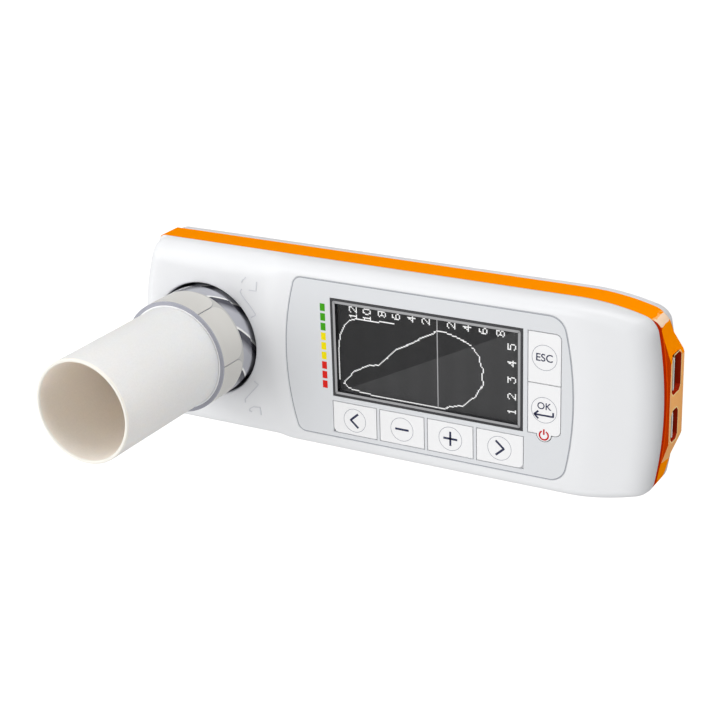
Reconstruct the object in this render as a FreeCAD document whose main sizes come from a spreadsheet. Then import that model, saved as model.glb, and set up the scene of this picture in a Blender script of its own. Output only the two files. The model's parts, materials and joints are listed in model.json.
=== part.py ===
"""Handheld spirometer: a flat case with a keypad and display, a clear turbine and a cardboard mouthpiece.

Millimetres. The device lies on its back: +X runs along the case towards the connector end, +Y is the
top long edge as the display is read, and +Z comes out of the display. The origin is the middle of the
case on its back face.
"""
import FreeCAD
import Part
import Sketcher
import math
import os
import re

Vector = FreeCAD.Vector

# Driving sizes, one row of the sheet each
SIZES = {
    # Case layers and outline
    "case_length": 160.0,
    "case_width": 55.2,
    "rear_depth": 10.9,
    "band_depth": 7.6,
    "front_depth": 6.5,
    "wall": 2.0,
    "nose_proud": 0.6,
    "right_bow": 112.4,
    "left_bow": 75.0,
    "taper_length": 24.4,
    "taper_bow": 70.0,
    "right_corner": 5.5,
    "left_corner": 4.7,
    "band_corner": 1.2,
    "front_roll": 4.5,
    "rear_straight": 2.1,
    "rear_taper": 30.0,
    "rear_roll": 3.0,
    "hole_rim": 0.35,
    # Soft steps of the front face
    "head_drop": 0.6,
    "head_ramp_gap": 4.5,
    "head_ramp": 3.5,
    "crease_gap": 4.8,
    "crease_angle": 6.7,
    "end_roll": 5.5,
    # Orange nose with the two ports
    "lip_recess": 1.5,
    "facet_height": 2.7,
    "nose_drop": 5.0,
    "nose_shoulder": 2.2,
    "nose_top": 12.9,
    "nose_bottom": 11.6,
    "nose_top_ramp": 5.1,
    "nose_bottom_ramp": 4.6,
    "nose_run": 5.6,
    "nose_side_ramp": 1.0,
    "upper_port_width": 11.0,
    "upper_port_height": 6.6,
    "upper_port_place": 8.0,
    "upper_port_level": 11.5,
    "lower_port_width": 9.0,
    "lower_port_height": 5.2,
    "lower_port_place": -6.4,
    "lower_port_level": 12.0,
    "port_chamfer": 1.2,
    # Keypad overlay and display
    "overlay_thick": 0.8,
    "overlay_head": 3.75,
    "overlay_foot": 4.9,
    "overlay_left_bow": 76.0,
    "head_land": 27.35,
    "overlay_right_bow": 90.2,
    "overlay_left_corner": 3.0,
    "overlay_right_corner": 5.0,
    "seat_gap": 0.1,
    "scale_land": 15.0,
    "display_head": 4.9,
    "display_foot": 1.7,
    "bezel_edge": 1.6,
    "window_ledge": 0.45,
    "window_thick": 0.5,
    "glass_thick": 2.2,
    "backlight_margin": 2.0,
    # Keys
    "key_height": 9.2,
    "key_foot": 1.8,
    "key_overhang": 0.1,
    "key_spacing": 1.26,
    "side_key_inset": 35.65,
    "side_key_width": 9.15,
    "side_key_spacing": 1.55,
    "side_key_rise": 0.2,
    "side_key_drop": 0.25,
    "side_key_gap": 0.3,
    "key_corner": 1.5,
    "power_lobe": 2.0,
    "key_gap": 0.25,
    "key_lip": 0.6,
    "lip_thick": 0.45,
    "lip_gap": 0.05,
    "key_travel": 0.4,
    "plunger": 1.6,
    "dome": 3.0,
    "dome_rise": 0.35,
    # Boards and what they carry
    "board_level": 14.6,
    "board_thick": 1.6,
    "board_lead": 5.1,
    "board_end": 8.0,
    "board_side": 5.1,
    "board_screw_lead": 1.1,
    "board_screw_end": 19.5,
    "board_screw_side": 8.6,
    "board_screw": 0.95,
    "board_boss": 2.2,
    "socket_wall": 0.3,
    "socket_gap": 0.3,
    "socket_setback": 1.1,
    "socket_length": 11.0,
    "tongue_recess": 2.2,
    "tongue_thick": 1.0,
    "buzzer": 4.5,
    "buzzer_height": 3.0,
    "chip_size": 10.0,
    "chip_height": 1.4,
    # Battery and its door
    "battery_length": 50.0,
    "battery_width": 30.0,
    "battery_height": 7.5,
    "battery_lead": 35.9,
    "battery_gap": 0.5,
    "door_margin": 4.2,
    "door_thick": 1.2,
    "door_gap": 0.15,
    "compartment_wall": 1.2,
    # Case screws
    "left_boss_inset": 10.5,
    "left_boss_gap": 0.79,
    "right_boss_inset": 12.5,
    "right_boss_gap": 1.4,
    "boss": 3.0,
    "screw": 1.25,
    "screw_head": 2.4,
    "screw_head_height": 1.6,
    "screw_well": 3.6,
    "screw_bite": 7.0,
    "screw_gap": 0.05,
    # Turbine and its seat
    "turbine_inset": 22.75,
    "turbine_hole": 16.92,
    "seat_wall": 1.4,
    "seat_floor": 1.0,
    "seat_chamfer": 1.0,
    "tube": 15.6,
    "tube_bore": 13.6,
    "neck": 14.6,
    "foot_gap": 0.8,
    "rest_gap": 0.1,
    "tube_top": 29.4,
    "shoulder_height": 1.6,
    "ledge_gap": 0.25,
    "ledge_thick": 2.0,
    "lug_reach": 1.0,
    "lug_thick": 1.8,
    "lug_level": 5.3,
    "lug_angle": 24.0,
    "lock_angle": 35.0,
    "lug_count": 3,
    "lug_gap": 0.25,
    "entry_gap": 2.0,
    "socket": 16.4,
    "socket_rim": 40.4,
    "rim_thick": 0.84,
    "lead_in": 3.0,
    "pad_rise": 0.35,
    "pad_count": 6,
    "pad_angle": 54.0,
    # Mouthpiece
    "mouthpiece": 14.85,
    "mouthpiece_wall": 1.0,
    "mouthpiece_length": 54.0,
    "end_step": 0.3,
    "push_fit": 0.1,
    # Swirlers and rotor
    "swirler_fit": 0.05,
    "swirler_ring": 0.7,
    "hub": 2.6,
    "vane_count": 6,
    "vane_thick": 0.8,
    "vane_twist": 42.0,
    "rear_swirler_level": 3.4,
    "rear_swirler_height": 6.0,
    "front_swirler_height": 8.9,
    "front_swirler_gap": 0.5,
    "bearing": 1.3,
    "bearing_length": 2.0,
    "axle": 0.5,
    "axle_fit": 0.05,
    "axle_reach": 1.4,
    "rotor_half_width": 12.2,
    "rotor_height": 8.4,
    "rotor_thick": 0.5,
    "sleeve": 1.1,
    # Flow sensor
    "emitter": 1.5,
    "emitter_fit": 0.05,
    "emitter_flange": 2.1,
    "flange_thick": 0.6,
    "sensor_board_gap": 2.08,
    "sensor_board_thick": 0.8,
    "sensor_board_width": 12.0,
}

# Sizes that follow from the driving ones, written the same way
DERIVED = {
    "half_width": "(case_width / 2)",
    "band_top": "(rear_depth + band_depth)",
    "case_top": "(rear_depth + band_depth + front_depth)",
    "roof": "(case_top - wall)",
    "left_centre": "(left_bow - case_length / 2)",
    "right_centre": "(case_length / 2 - nose_proud - right_bow)",
    "shoulder": "(case_length / 2 - nose_proud - taper_length)",
    "turbine_place": "(turbine_inset - case_length / 2)",
    "overlay_left": "(turbine_place + head_land)",
    "overlay_left_centre": "(overlay_left + overlay_left_bow)",
    "overlay_top": "(half_width - overlay_head)",
    "overlay_bottom": "(overlay_foot - half_width)",
    "overlay_level": "(case_top - overlay_thick)",
    "side_key_left": "(case_length / 2 - side_key_inset)",
    "display_left": "(overlay_left + scale_land)",
    "display_right": "(side_key_left - side_key_spacing)",
    "display_width": "(display_right - display_left)",
    "key_row_bottom": "(overlay_bottom + key_foot)",
    "display_bottom": "(key_row_bottom + key_height + display_foot)",
    "display_top": "(overlay_top - display_head)",
    "display_height": "(display_top - display_bottom)",
    "key_row_left": "(display_left - key_overhang)",
    "key_pitch": "((display_width + 2 * key_overhang + key_spacing) / 4)",
    "key_width": "(key_pitch - key_spacing)",
    "side_key_bottom": "(display_bottom + side_key_rise)",
    "side_key_height": "((display_top - side_key_drop - side_key_bottom - side_key_gap) / 2)",
    "board_left": "(overlay_left - board_lead)",
    "board_right": "(case_length / 2 - board_end)",
    "board_half_width": "(half_width - board_side)",
    "board_screw_left": "(overlay_left - board_screw_lead)",
    "board_screw_right": "(case_length / 2 - board_screw_end)",
    "board_screw_reach": "(half_width - board_screw_side)",
    "battery_place": "(overlay_left + battery_lead)",
    "left_boss_place": "(left_boss_inset - case_length / 2)",
    "left_boss_away": "(turbine_inset - left_boss_inset)",
    "left_boss_far": "(seat_outer + boss + left_boss_gap)",
    "left_boss_reach": "sqrt(left_boss_far * left_boss_far - left_boss_away * left_boss_away)",
    "right_boss_place": "(case_length / 2 - right_boss_inset)",
    "right_boss_reach": "(upper_port_place + upper_port_width / 2 - socket_gap + boss + right_boss_gap)",
    "board_top": "(board_level + board_thick)",
    "dome_top": "(board_top + dome_rise)",
    "plunger_foot": "(dome_top + key_travel + lip_gap)",
    "row_middle": "(key_row_bottom + key_height / 2)",
    "side_middle": "(side_key_left + side_key_width / 2)",
    "side_keys_top": "(side_key_bottom + 2 * side_key_height + side_key_gap)",
    "face_x": "(case_length / 2)",
    "crease": "(overlay_right_bow + crease_gap)",
    "door_screw_place": "(battery_place - door_half_length + door_margin / 2)",
    "door_half_length": "(battery_length / 2 + battery_gap + door_margin)",
    "door_half_width": "(battery_width / 2 + battery_gap + door_margin)",
    "seat_outer": "(turbine_hole + seat_wall)",
    "ledge_level": "(lug_level + lug_thick + lug_gap)",
    "rest_level": "(wall + seat_floor + rest_gap)",
    "rotor_middle": "((rear_swirler_level + rear_swirler_height + front_swirler_level) / 2)",
    "front_swirler_level": "(tube_top - front_swirler_gap - front_swirler_height)",
    "axle_foot": "(rear_swirler_level + rear_swirler_height - axle_reach)",
    "axle_length": "(front_swirler_level + axle_reach - axle_foot)",
    "sensor_board_place": "(seat_outer + sensor_board_gap)",
    "socket_end": "(mouthpiece - end_step)",
    "rear_bend": "(rear_depth - rear_straight)",
}

WORD = re.compile(r"[a-z][a-z_]*[a-z]|[a-z]")

doc = FreeCAD.newDocument("Spirometer")
sheet = doc.addObject("Spreadsheet::Sheet", "Sizes")
for row, (alias, number) in enumerate(SIZES.items(), start=1):
    sheet.set(f"A{row}", alias)
    sheet.set(f"B{row}", str(number))
    sheet.setAlias(f"B{row}", alias)
doc.recompute()


def bind(expression):
    """Turn plain words into references to the sheet, working out derived words on the way."""
    def replace(match):
        word = match.group(0)
        if word in DERIVED:
            return bind(DERIVED[word])
        return f"Sizes.{word}" if word in SIZES else word
    return WORD.sub(replace, str(expression))


def value(expression):
    """The number that an expression has now."""
    return float(sheet.evalExpression(bind(expression)))


def tie(item, **expressions):
    """Bind properties of an object to expressions; a double underscore stands for a dot."""
    for name, expression in expressions.items():
        item.setExpression(name.replace("__", "."), bind(expression))


# Sketch helpers

def sketch_on(body, plane, level="0", across="0", turn="0", about=Vector(0, 0, 1)):
    """A sketch on an origin plane, lifted along its normal, moved across and turned about one of its axes."""
    sketch = body.newObject("Sketcher::SketchObject", f"{body.Name}_sketch")
    origin_plane = next(item for item in body.Origin.OriginFeatures if item.Role == plane)
    sketch.AttachmentSupport = (origin_plane, "")
    sketch.MapMode = "FlatFace"
    tie(sketch, AttachmentOffset__Base__z=level, AttachmentOffset__Base__x=across)
    if turn != "0":
        sketch.AttachmentOffset = FreeCAD.Placement(Vector(), FreeCAD.Rotation(about, value(turn)))
        tie(sketch, AttachmentOffset__Rotation__Angle=turn)
    return sketch


def dimension(sketch, kind, places, expression):
    """One dimension of a sketch, bound to an expression."""
    index = sketch.addConstraint(Sketcher.Constraint(kind, *places, value(expression)))
    sketch.setExpression(f"Constraints[{index}]", bind(expression))


def lock(sketch, geometry, vertex, x, y):
    """Hold a vertex at two expressions measured from the sketch's origin."""
    dimension(sketch, "DistanceX", (-1, 1, geometry, vertex), x)
    dimension(sketch, "DistanceY", (-1, 1, geometry, vertex), y)


def polygon(sketch, points):
    """A closed outline of straight sides through points given as pairs of expressions."""
    places = [Vector(value(x), value(y), 0) for x, y in points]
    first = sketch.GeometryCount
    count = len(points)
    for k in range(count):
        sketch.addGeometry(Part.LineSegment(places[k], places[(k + 1) % count]))
    for k in range(count):
        sketch.addConstraint(Sketcher.Constraint("Coincident", first + k, 2, first + (k + 1) % count, 1))
        lock(sketch, first + k, 1, *points[k])


def rectangle(sketch, left, bottom, right, top):
    """A rectangle between four expressions."""
    polygon(sketch, [(left, bottom), (right, bottom), (right, top), (left, top)])


def circle(sketch, radius, x="0", y="0"):
    """A circle of a radius about a centre."""
    index = sketch.addGeometry(Part.Circle(Vector(value(x), value(y), 0), Vector(0, 0, 1), value(radius)))
    dimension(sketch, "Radius", (index,), radius)
    lock(sketch, index, 3, x, y)


def falling_end(sketch):
    """The cutter for the falling end: a sloping line from the crease that runs tangent into a round edge."""
    slope = math.radians(value("crease_angle"))
    radius = value("end_roll")
    start = Vector(value("crease"), value("case_top"), 0)
    middle_x = value("right_bow") - radius
    touch_x = middle_x + radius * math.sin(slope)
    touch = Vector(touch_x, start.y - (touch_x - start.x) * math.tan(slope), 0)
    middle = Vector(middle_x, touch.y - radius * math.cos(slope), 0)
    foot = Vector(value("right_bow"), middle.y, 0)
    line = sketch.addGeometry(Part.LineSegment(start, touch))
    ring = Part.Circle(middle, Vector(0, 0, 1), radius)
    roll = sketch.addGeometry(Part.ArcOfCircle(ring, 0, math.pi / 2 - slope))
    outer = value("right_bow + wall")
    upper = value("case_top + wall")
    corners = [foot, Vector(outer, foot.y, 0), Vector(outer, upper, 0), Vector(start.x, upper, 0), start]
    sides = [sketch.addGeometry(Part.LineSegment(*pair)) for pair in zip(corners, corners[1:])]
    sketch.addConstraint(Sketcher.Constraint("Tangent", line, 2, roll, 2))
    join(sketch, [((roll, 1), (sides[0], 1)), ((sides[0], 2), (sides[1], 1)), ((sides[1], 2), (sides[2], 1)),
                  ((sides[2], 2), (sides[3], 1)), ((sides[3], 2), (line, 1))])
    sketch.addConstraint(Sketcher.Constraint("Horizontal", roll, 3, roll, 1))
    for k, direction in enumerate(("Horizontal", "Vertical", "Horizontal", "Vertical")):
        sketch.addConstraint(Sketcher.Constraint(direction, sides[k]))
    lock(sketch, line, 1, "crease", "case_top")
    angle = sketch.addConstraint(Sketcher.Constraint("Angle", line, -slope))
    sketch.setExpression(f"Constraints[{angle}]", bind("-crease_angle * 1 deg"))
    dimension(sketch, "Radius", (roll,), "end_roll")
    dimension(sketch, "DistanceX", (-1, 1, roll, 3), "right_bow - end_roll")
    lock(sketch, sides[1], 2, "right_bow + wall", "case_top + wall")


def arc(sketch, radius, x, y, start, end):
    """An arc about a locked centre, drawn counter-clockwise between two rough places."""
    centre = Vector(value(x), value(y), 0)
    ring = Part.Circle(centre, Vector(0, 0, 1), value(radius))
    angles = [math.atan2(place.y - centre.y, place.x - centre.x) for place in (start, end)]
    index = sketch.addGeometry(Part.ArcOfCircle(ring, *angles))
    dimension(sketch, "Radius", (index,), radius)
    lock(sketch, index, 3, x, y)
    return index


def level_line(sketch, start, end):
    """A line kept parallel to the sketch's first axis."""
    index = sketch.addGeometry(Part.LineSegment(start, end))
    sketch.addConstraint(Sketcher.Constraint("Horizontal", index))
    return index


def join(sketch, pairs):
    """Join end vertices in pairs of (geometry, vertex)."""
    for first, second in pairs:
        sketch.addConstraint(Sketcher.Constraint("Coincident", *first, *second))


def circle_x(radius, centre, y):
    """Where a circle about a centre on the first axis reaches a height, on its +X side."""
    return centre + math.copysign(math.sqrt(radius * radius - y * y), radius)


def case_outline(sketch, inset="0", end_inset=None):
    """The case seen from the front, drawn in by an inset: bowed ends, straight sides, tapered shoulders."""
    end_inset = end_inset or inset
    side = f"(half_width - {inset})"
    left_radius = f"(left_bow - {inset})"
    right_radius = f"(right_bow - {end_inset})"
    taper_radius = f"(taper_bow - {inset})"
    drop = "(half_width - taper_bow)"
    high = value(side)
    right_middle = value("right_centre")
    corner_x = right_middle + value(right_radius) - 3.0
    corner = Vector(corner_x, high - 2.5, 0)
    shoulder = Vector(value("shoulder"), high, 0)
    left_x = value("left_centre") - math.sqrt(value(left_radius) ** 2 - high ** 2)
    back = Vector(left_x, high, 0)

    def below(place):
        return Vector(place.x, -place.y, 0)

    top = level_line(sketch, shoulder, back)
    left = arc(sketch, left_radius, "left_centre", "0", back, below(back))
    bottom = level_line(sketch, below(back), below(shoulder))
    low_taper = arc(sketch, taper_radius, "shoulder", f"-({drop})", below(shoulder), below(corner))
    right = arc(sketch, right_radius, "right_centre", "0", below(corner), corner)
    high_taper = arc(sketch, taper_radius, "shoulder", drop, corner, shoulder)
    join(sketch, [
        ((top, 2), (left, 1)), ((left, 2), (bottom, 1)), ((bottom, 2), (low_taper, 1)),
        ((low_taper, 2), (right, 1)), ((right, 2), (high_taper, 1)), ((high_taper, 2), (top, 1)),
    ])
    dimension(sketch, "DistanceX", (-1, 1, top, 1), "shoulder")
    dimension(sketch, "DistanceX", (-1, 1, bottom, 2), "shoulder")


def overlay_outline(sketch, spread="0"):
    """The keypad overlay's outline, spread outwards by a gap: level edges between two bowed ends."""
    left_radius = f"(overlay_left_bow + {spread})"
    right_radius = f"(overlay_right_bow + {spread})"
    top = value(f"overlay_top + {spread}")
    bottom = value(f"overlay_bottom - {spread}")
    left_middle = value("overlay_left_centre")
    right_middle = value("right_centre")
    left_x = [circle_x(-value(left_radius), left_middle, y) for y in (top, bottom)]
    right_x = [circle_x(value(right_radius), right_middle, y) for y in (top, bottom)]
    upper = level_line(sketch, Vector(right_x[0], top, 0), Vector(left_x[0], top, 0))
    left = arc(sketch, left_radius, "overlay_left_centre", "0",
               Vector(left_x[0], top, 0), Vector(left_x[1], bottom, 0))
    lower = level_line(sketch, Vector(left_x[1], bottom, 0), Vector(right_x[1], bottom, 0))
    right = arc(sketch, right_radius, "right_centre", "0",
                Vector(right_x[1], bottom, 0), Vector(right_x[0], top, 0))
    join(sketch, [
        ((upper, 2), (left, 1)), ((left, 2), (lower, 1)), ((lower, 2), (right, 1)), ((right, 2), (upper, 1)),
    ])
    dimension(sketch, "DistanceY", (-1, 1, upper, 1), f"overlay_top + {spread}")
    dimension(sketch, "DistanceY", (-1, 1, lower, 1), f"overlay_bottom - {spread}")


def chamfered_port(sketch, place, level, width, height, spread="0"):
    """A port opening with its four corners cut off, centred on a place and a level."""
    half = f"({width} / 2 + {spread})"
    tall = f"({height} / 2 + {spread})"
    cut = "port_chamfer"
    corners = [(-1, -1, 0, 1), (-1, -1, 1, 0), (1, -1, -1, 0), (1, -1, 0, 1),
               (1, 1, 0, -1), (1, 1, -1, 0), (-1, 1, 1, 0), (-1, 1, 0, -1)]
    polygon(sketch, [
        (f"{place} + {sx} * {half} + {dx} * {cut}", f"{level} + {sy} * {tall} + {dy} * {cut}")
        for sx, sy, dx, dy in corners
    ])


# Feature helpers

def new_body(label, x="0"):
    """An empty body whose own origin is moved along X."""
    body = doc.addObject("PartDesign::Body", label)
    body.Label = label
    tie(body, Placement__Base__x=x)
    return body


def pad(body, sketch, length, reverse=False, taper="0"):
    """Add a sketch pushed out by a length, drawn in by a taper angle."""
    feature = body.newObject("PartDesign::Pad", f"{body.Name}_pad")
    feature.Profile = sketch
    feature.Reversed = reverse
    tie(feature, Length=length, TaperAngle=f"-({taper})")
    doc.recompute()
    return feature


def pocket(body, sketch, length, upwards=True, taper="0"):
    """Cut a sketch into the body, along its normal or against it, and make sure that it cuts."""
    before = body.Shape.Volume
    feature = body.newObject("PartDesign::Pocket", f"{body.Name}_pocket")
    feature.Profile = sketch
    feature.Reversed = upwards
    tie(feature, Length=length, TaperAngle=f"-({taper})")
    doc.recompute()
    if body.Shape.Volume >= before:
        raise ValueError(f"{feature.Name} cuts nothing")
    return feature


def turned(body, sketch, kind="Revolution", angle="360"):
    """Turn a sketch about its own second axis, adding or cutting."""
    feature = body.newObject(f"PartDesign::{kind}", f"{body.Name}_{kind.lower()}")
    feature.Profile = sketch
    feature.ReferenceAxis = (sketch, ["V_Axis"])
    tie(feature, Angle=angle)
    doc.recompute()
    return feature


def around(body, original, count):
    """Repeat a feature evenly about the body's own Z axis."""
    feature = body.newObject("PartDesign::PolarPattern", f"{body.Name}_pattern")
    feature.Originals = [original]
    axis = next(item for item in body.Origin.OriginFeatures if item.Role == "Z_Axis")
    feature.Axis = (axis, [""])
    feature.Angle = 360
    tie(feature, Occurrences=count)
    body.Tip = feature
    doc.recompute()
    return feature


def round_edges(body, radius, chosen):
    """Round the edges of the body that a test picks."""
    base = body.Tip
    names = [f"Edge{k}" for k, edge in enumerate(base.Shape.Edges, start=1) if chosen(edge)]
    feature = body.newObject("PartDesign::Fillet", f"{body.Name}_fillet")
    feature.Base = (base, names)
    tie(feature, Radius=radius)
    doc.recompute()
    return feature


def upright(edge):
    """Whether an edge runs straight along Z."""
    box = edge.BoundBox
    return box.ZLength > 0.1 and box.XLength < 0.01 and box.YLength < 0.01


def steep(edge):
    """Whether an edge climbs more than it runs."""
    box = edge.BoundBox
    return box.ZLength > max(box.XLength, box.YLength)


def flat_at(level):
    """A test for edges that lie flat at a level."""
    height = value(level)
    return lambda edge: abs(edge.BoundBox.ZMin - height) < 0.01 and abs(edge.BoundBox.ZMax - height) < 0.01


def round_case_corners(body, left_radius="left_corner"):
    """Round the four steep corners of a case layer."""
    right = value("shoulder") + 2.0
    left = value("left_centre") - value("left_bow") / 2
    round_edges(body, "right_corner", lambda edge: steep(edge) and edge.BoundBox.XMin > right)
    round_edges(body, left_radius, lambda edge: steep(edge) and edge.BoundBox.XMax < left)


def boss_places():
    """Where the four case screws stand, as pairs of expressions."""
    return [
        (f"{end}_boss_place", f"{sign} * {end}_boss_reach")
        for end in ("left", "right") for sign in (1, -1)
    ]


def board_screw_places():
    """Where the four board screws stand."""
    return [
        (f"board_screw_{end}", f"{sign} * board_screw_reach")
        for end in ("left", "right") for sign in (1, -1)
    ]


# Front shell: a shallow tray with a rolled rim, a lowered head and a falling end

def front_shell():
    body = new_body("front_shell")
    outline = sketch_on(body, "XY_Plane", "band_top")
    case_outline(outline)
    pad(body, outline, "front_depth")
    round_case_corners(body)
    round_edges(body, "front_roll", flat_at("case_top"))

    end = sketch_on(body, "XZ_Plane", across="right_centre")
    falling_end(end)
    turned(body, end, "Groove")

    head = sketch_on(body, "XZ_Plane", across="overlay_left_centre")
    ramp = "(overlay_left_bow + head_ramp_gap)"
    polygon(head, [
        (ramp, "case_top"),
        (f"{ramp} + head_ramp", "case_top - head_drop"),
        (f"{ramp} + case_length", "case_top - head_drop"),
        (f"{ramp} + case_length", "case_top + wall"),
        (ramp, "case_top + wall"),
    ])
    turned(body, head, "Groove")

    low_cavity = sketch_on(body, "XY_Plane", "band_top")
    case_outline(low_cavity, "wall")
    pocket(body, low_cavity, "front_depth / 3")
    high_cavity = sketch_on(body, "XY_Plane", "band_top")
    case_outline(high_cavity, "(wall + front_roll / 4)", "(wall + end_roll)")
    pocket(body, high_cavity, "front_depth - wall")

    bosses = sketch_on(body, "XY_Plane", "rear_depth + 2 * seat_gap")
    for x, y in boss_places():
        circle(bosses, "boss", x, y)
    pad(body, bosses, "roof - rear_depth - seat_gap")
    board_bosses = sketch_on(body, "XY_Plane", "board_top")
    for x, y in board_screw_places():
        circle(board_bosses, "board_boss", x, y)
    pad(body, board_bosses, "roof - board_top + seat_gap")

    recess = sketch_on(body, "XY_Plane", "overlay_level")
    overlay_outline(recess, "seat_gap")
    pocket(body, recess, "overlay_thick + wall")
    middle = value("case_top") - 0.01
    left = value("display_left")
    at_recess = lambda edge: upright(edge) and edge.BoundBox.ZMax > middle and edge.BoundBox.ZLength < 1.0
    round_edges(body, "overlay_left_corner + seat_gap", lambda e: at_recess(e) and e.BoundBox.XMax < left)
    round_edges(body, "overlay_right_corner + seat_gap", lambda e: at_recess(e) and e.BoundBox.XMin > left)

    windows = sketch_on(body, "XY_Plane", "roof - seat_gap")
    edge = "(bezel_edge - window_ledge - seat_gap)"
    rectangle(windows, f"display_left + {edge}", f"display_bottom + {edge}",
              f"display_right - {edge}", f"display_top - {edge}")
    pocket(body, windows, "wall + seat_gap")
    side = "(key_gap + key_lip + seat_gap)"
    row = sketch_on(body, "XY_Plane", "roof - wall")
    rectangle(row, f"key_row_left - {side}", f"key_row_bottom - {side}",
              f"key_row_left + 3 * key_pitch + key_width + {side}", f"key_row_bottom + key_height + {side}")
    pocket(body, row, "2 * wall")
    block = sketch_on(body, "XY_Plane", "roof - wall")
    rectangle(block, f"side_key_left - {side}", f"side_key_bottom - power_lobe - {side}",
              f"side_key_left + side_key_width + {side}", f"side_keys_top + {side}")
    pocket(body, block, "2 * wall")

    opening = sketch_on(body, "XY_Plane", "band_top")
    circle(opening, "turbine_hole", "turbine_place")
    pocket(body, opening, "front_depth + wall")
    reach = value("turbine_hole") + 0.01
    centre = value("turbine_place")
    rim_level = value("case_top - head_drop")
    round_edges(body, "hole_rim", lambda e: abs(e.BoundBox.ZMin - rim_level) < 0.01
                and e.BoundBox.XMin > centre - reach and e.BoundBox.XMax < centre + reach
                and abs(e.BoundBox.YMax) < reach)

    pilots = sketch_on(body, "XY_Plane", "rear_depth")
    for x, y in boss_places():
        circle(pilots, "screw + screw_gap", x, y)
    pocket(body, pilots, "screw_bite + 1.0")
    board_pilots = sketch_on(body, "XY_Plane", "board_top")
    for x, y in board_screw_places():
        circle(board_pilots, "board_screw + screw_gap", x, y)
    pocket(body, board_pilots, "roof - board_top - seat_gap")
    return body


# Middle band: a ring between the shells that grows into the nose with the two ports

def nose_edge(spread="0"):
    """The lower edge of the nose and its skirt as the connector end is seen, from -Y to +Y."""
    return [
        (f"-nose_bottom - nose_bottom_ramp - nose_run - {spread}", "rear_depth"),
        (f"-nose_bottom - nose_bottom_ramp - {spread}", f"rear_depth - nose_shoulder - {spread}"),
        (f"-nose_bottom - {spread}", f"rear_depth - nose_drop - {spread}"),
        (f"nose_top + {spread}", f"rear_depth - nose_drop - {spread}"),
        (f"nose_top + nose_top_ramp + {spread}", f"rear_depth - nose_shoulder - {spread}"),
        (f"nose_top + nose_top_ramp + nose_run + {spread}", "rear_depth"),
    ]


def middle_band():
    body = new_body("middle_band")
    outline = sketch_on(body, "XY_Plane", "rear_depth - nose_drop")
    case_outline(outline)
    pad(body, outline, "band_depth + nose_drop")
    round_case_corners(body, "band_corner")
    nose = sketch_on(body, "YZ_Plane", "face_x")
    rectangle(nose, "-nose_bottom - nose_bottom_ramp", "rear_depth - nose_drop",
              "nose_top + nose_top_ramp", "band_top - facet_height")
    pad(body, nose, "6 * wall", reverse=True)
    sides = sketch_on(body, "XY_Plane", "rear_depth - nose_drop - wall")
    for sign, flat, ramp in ((1, "nose_top", "nose_top_ramp"), (-1, "nose_bottom", "nose_bottom_ramp")):
        start = f"{sign} * ({flat} - nose_side_ramp)"
        reach = f"({flat} + {ramp})"
        end = f"{sign} * {reach}"
        polygon(sides, [
            ("face_x", start),
            (f"right_centre + sqrt(right_bow * right_bow - {reach} * {reach})", end),
            ("face_x + wall", end),
            ("face_x + wall", start),
        ])
    pocket(body, sides, "band_depth + nose_drop + wall")
    below = sketch_on(body, "YZ_Plane", "face_x + wall")
    polygon(below, nose_edge() + [
        ("half_width + wall", "rear_depth"),
        ("half_width + wall", "0"),
        ("-half_width - wall", "0"),
        ("-half_width - wall", "rear_depth"),
    ])
    pocket(body, below, "6 * wall + taper_length", upwards=False)
    behind = sketch_on(body, "XY_Plane", "0")
    rectangle(behind, "-case_length", "-case_width", "face_x - 4.5 * wall + seat_gap", "case_width")
    pocket(body, behind, "rear_depth")

    facet = sketch_on(body, "XZ_Plane", across="right_centre")
    polygon(facet, [
        ("right_bow - lip_recess", "band_top"),
        ("right_bow + nose_proud", "band_top - facet_height"),
        ("right_bow + 3 * wall", "band_top - facet_height"),
        ("right_bow + 3 * wall", "band_top + wall"),
        ("right_bow - lip_recess", "band_top + wall"),
    ])
    turned(body, facet, "Groove")

    inside = sketch_on(body, "XY_Plane", "rear_depth - nose_drop - wall")
    case_outline(inside, "wall")
    pocket(body, inside, "band_depth + nose_drop + 2 * wall")
    ports = sketch_on(body, "YZ_Plane", "face_x")
    chamfered_port(ports, "upper_port_place", "upper_port_level", "upper_port_width", "upper_port_height")
    chamfered_port(ports, "lower_port_place", "lower_port_level", "lower_port_width", "lower_port_height")
    pocket(body, ports, "3 * wall", upwards=False)
    return body


# Rear shell: the deep tray with the airway, the battery door and the screw wells

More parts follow.
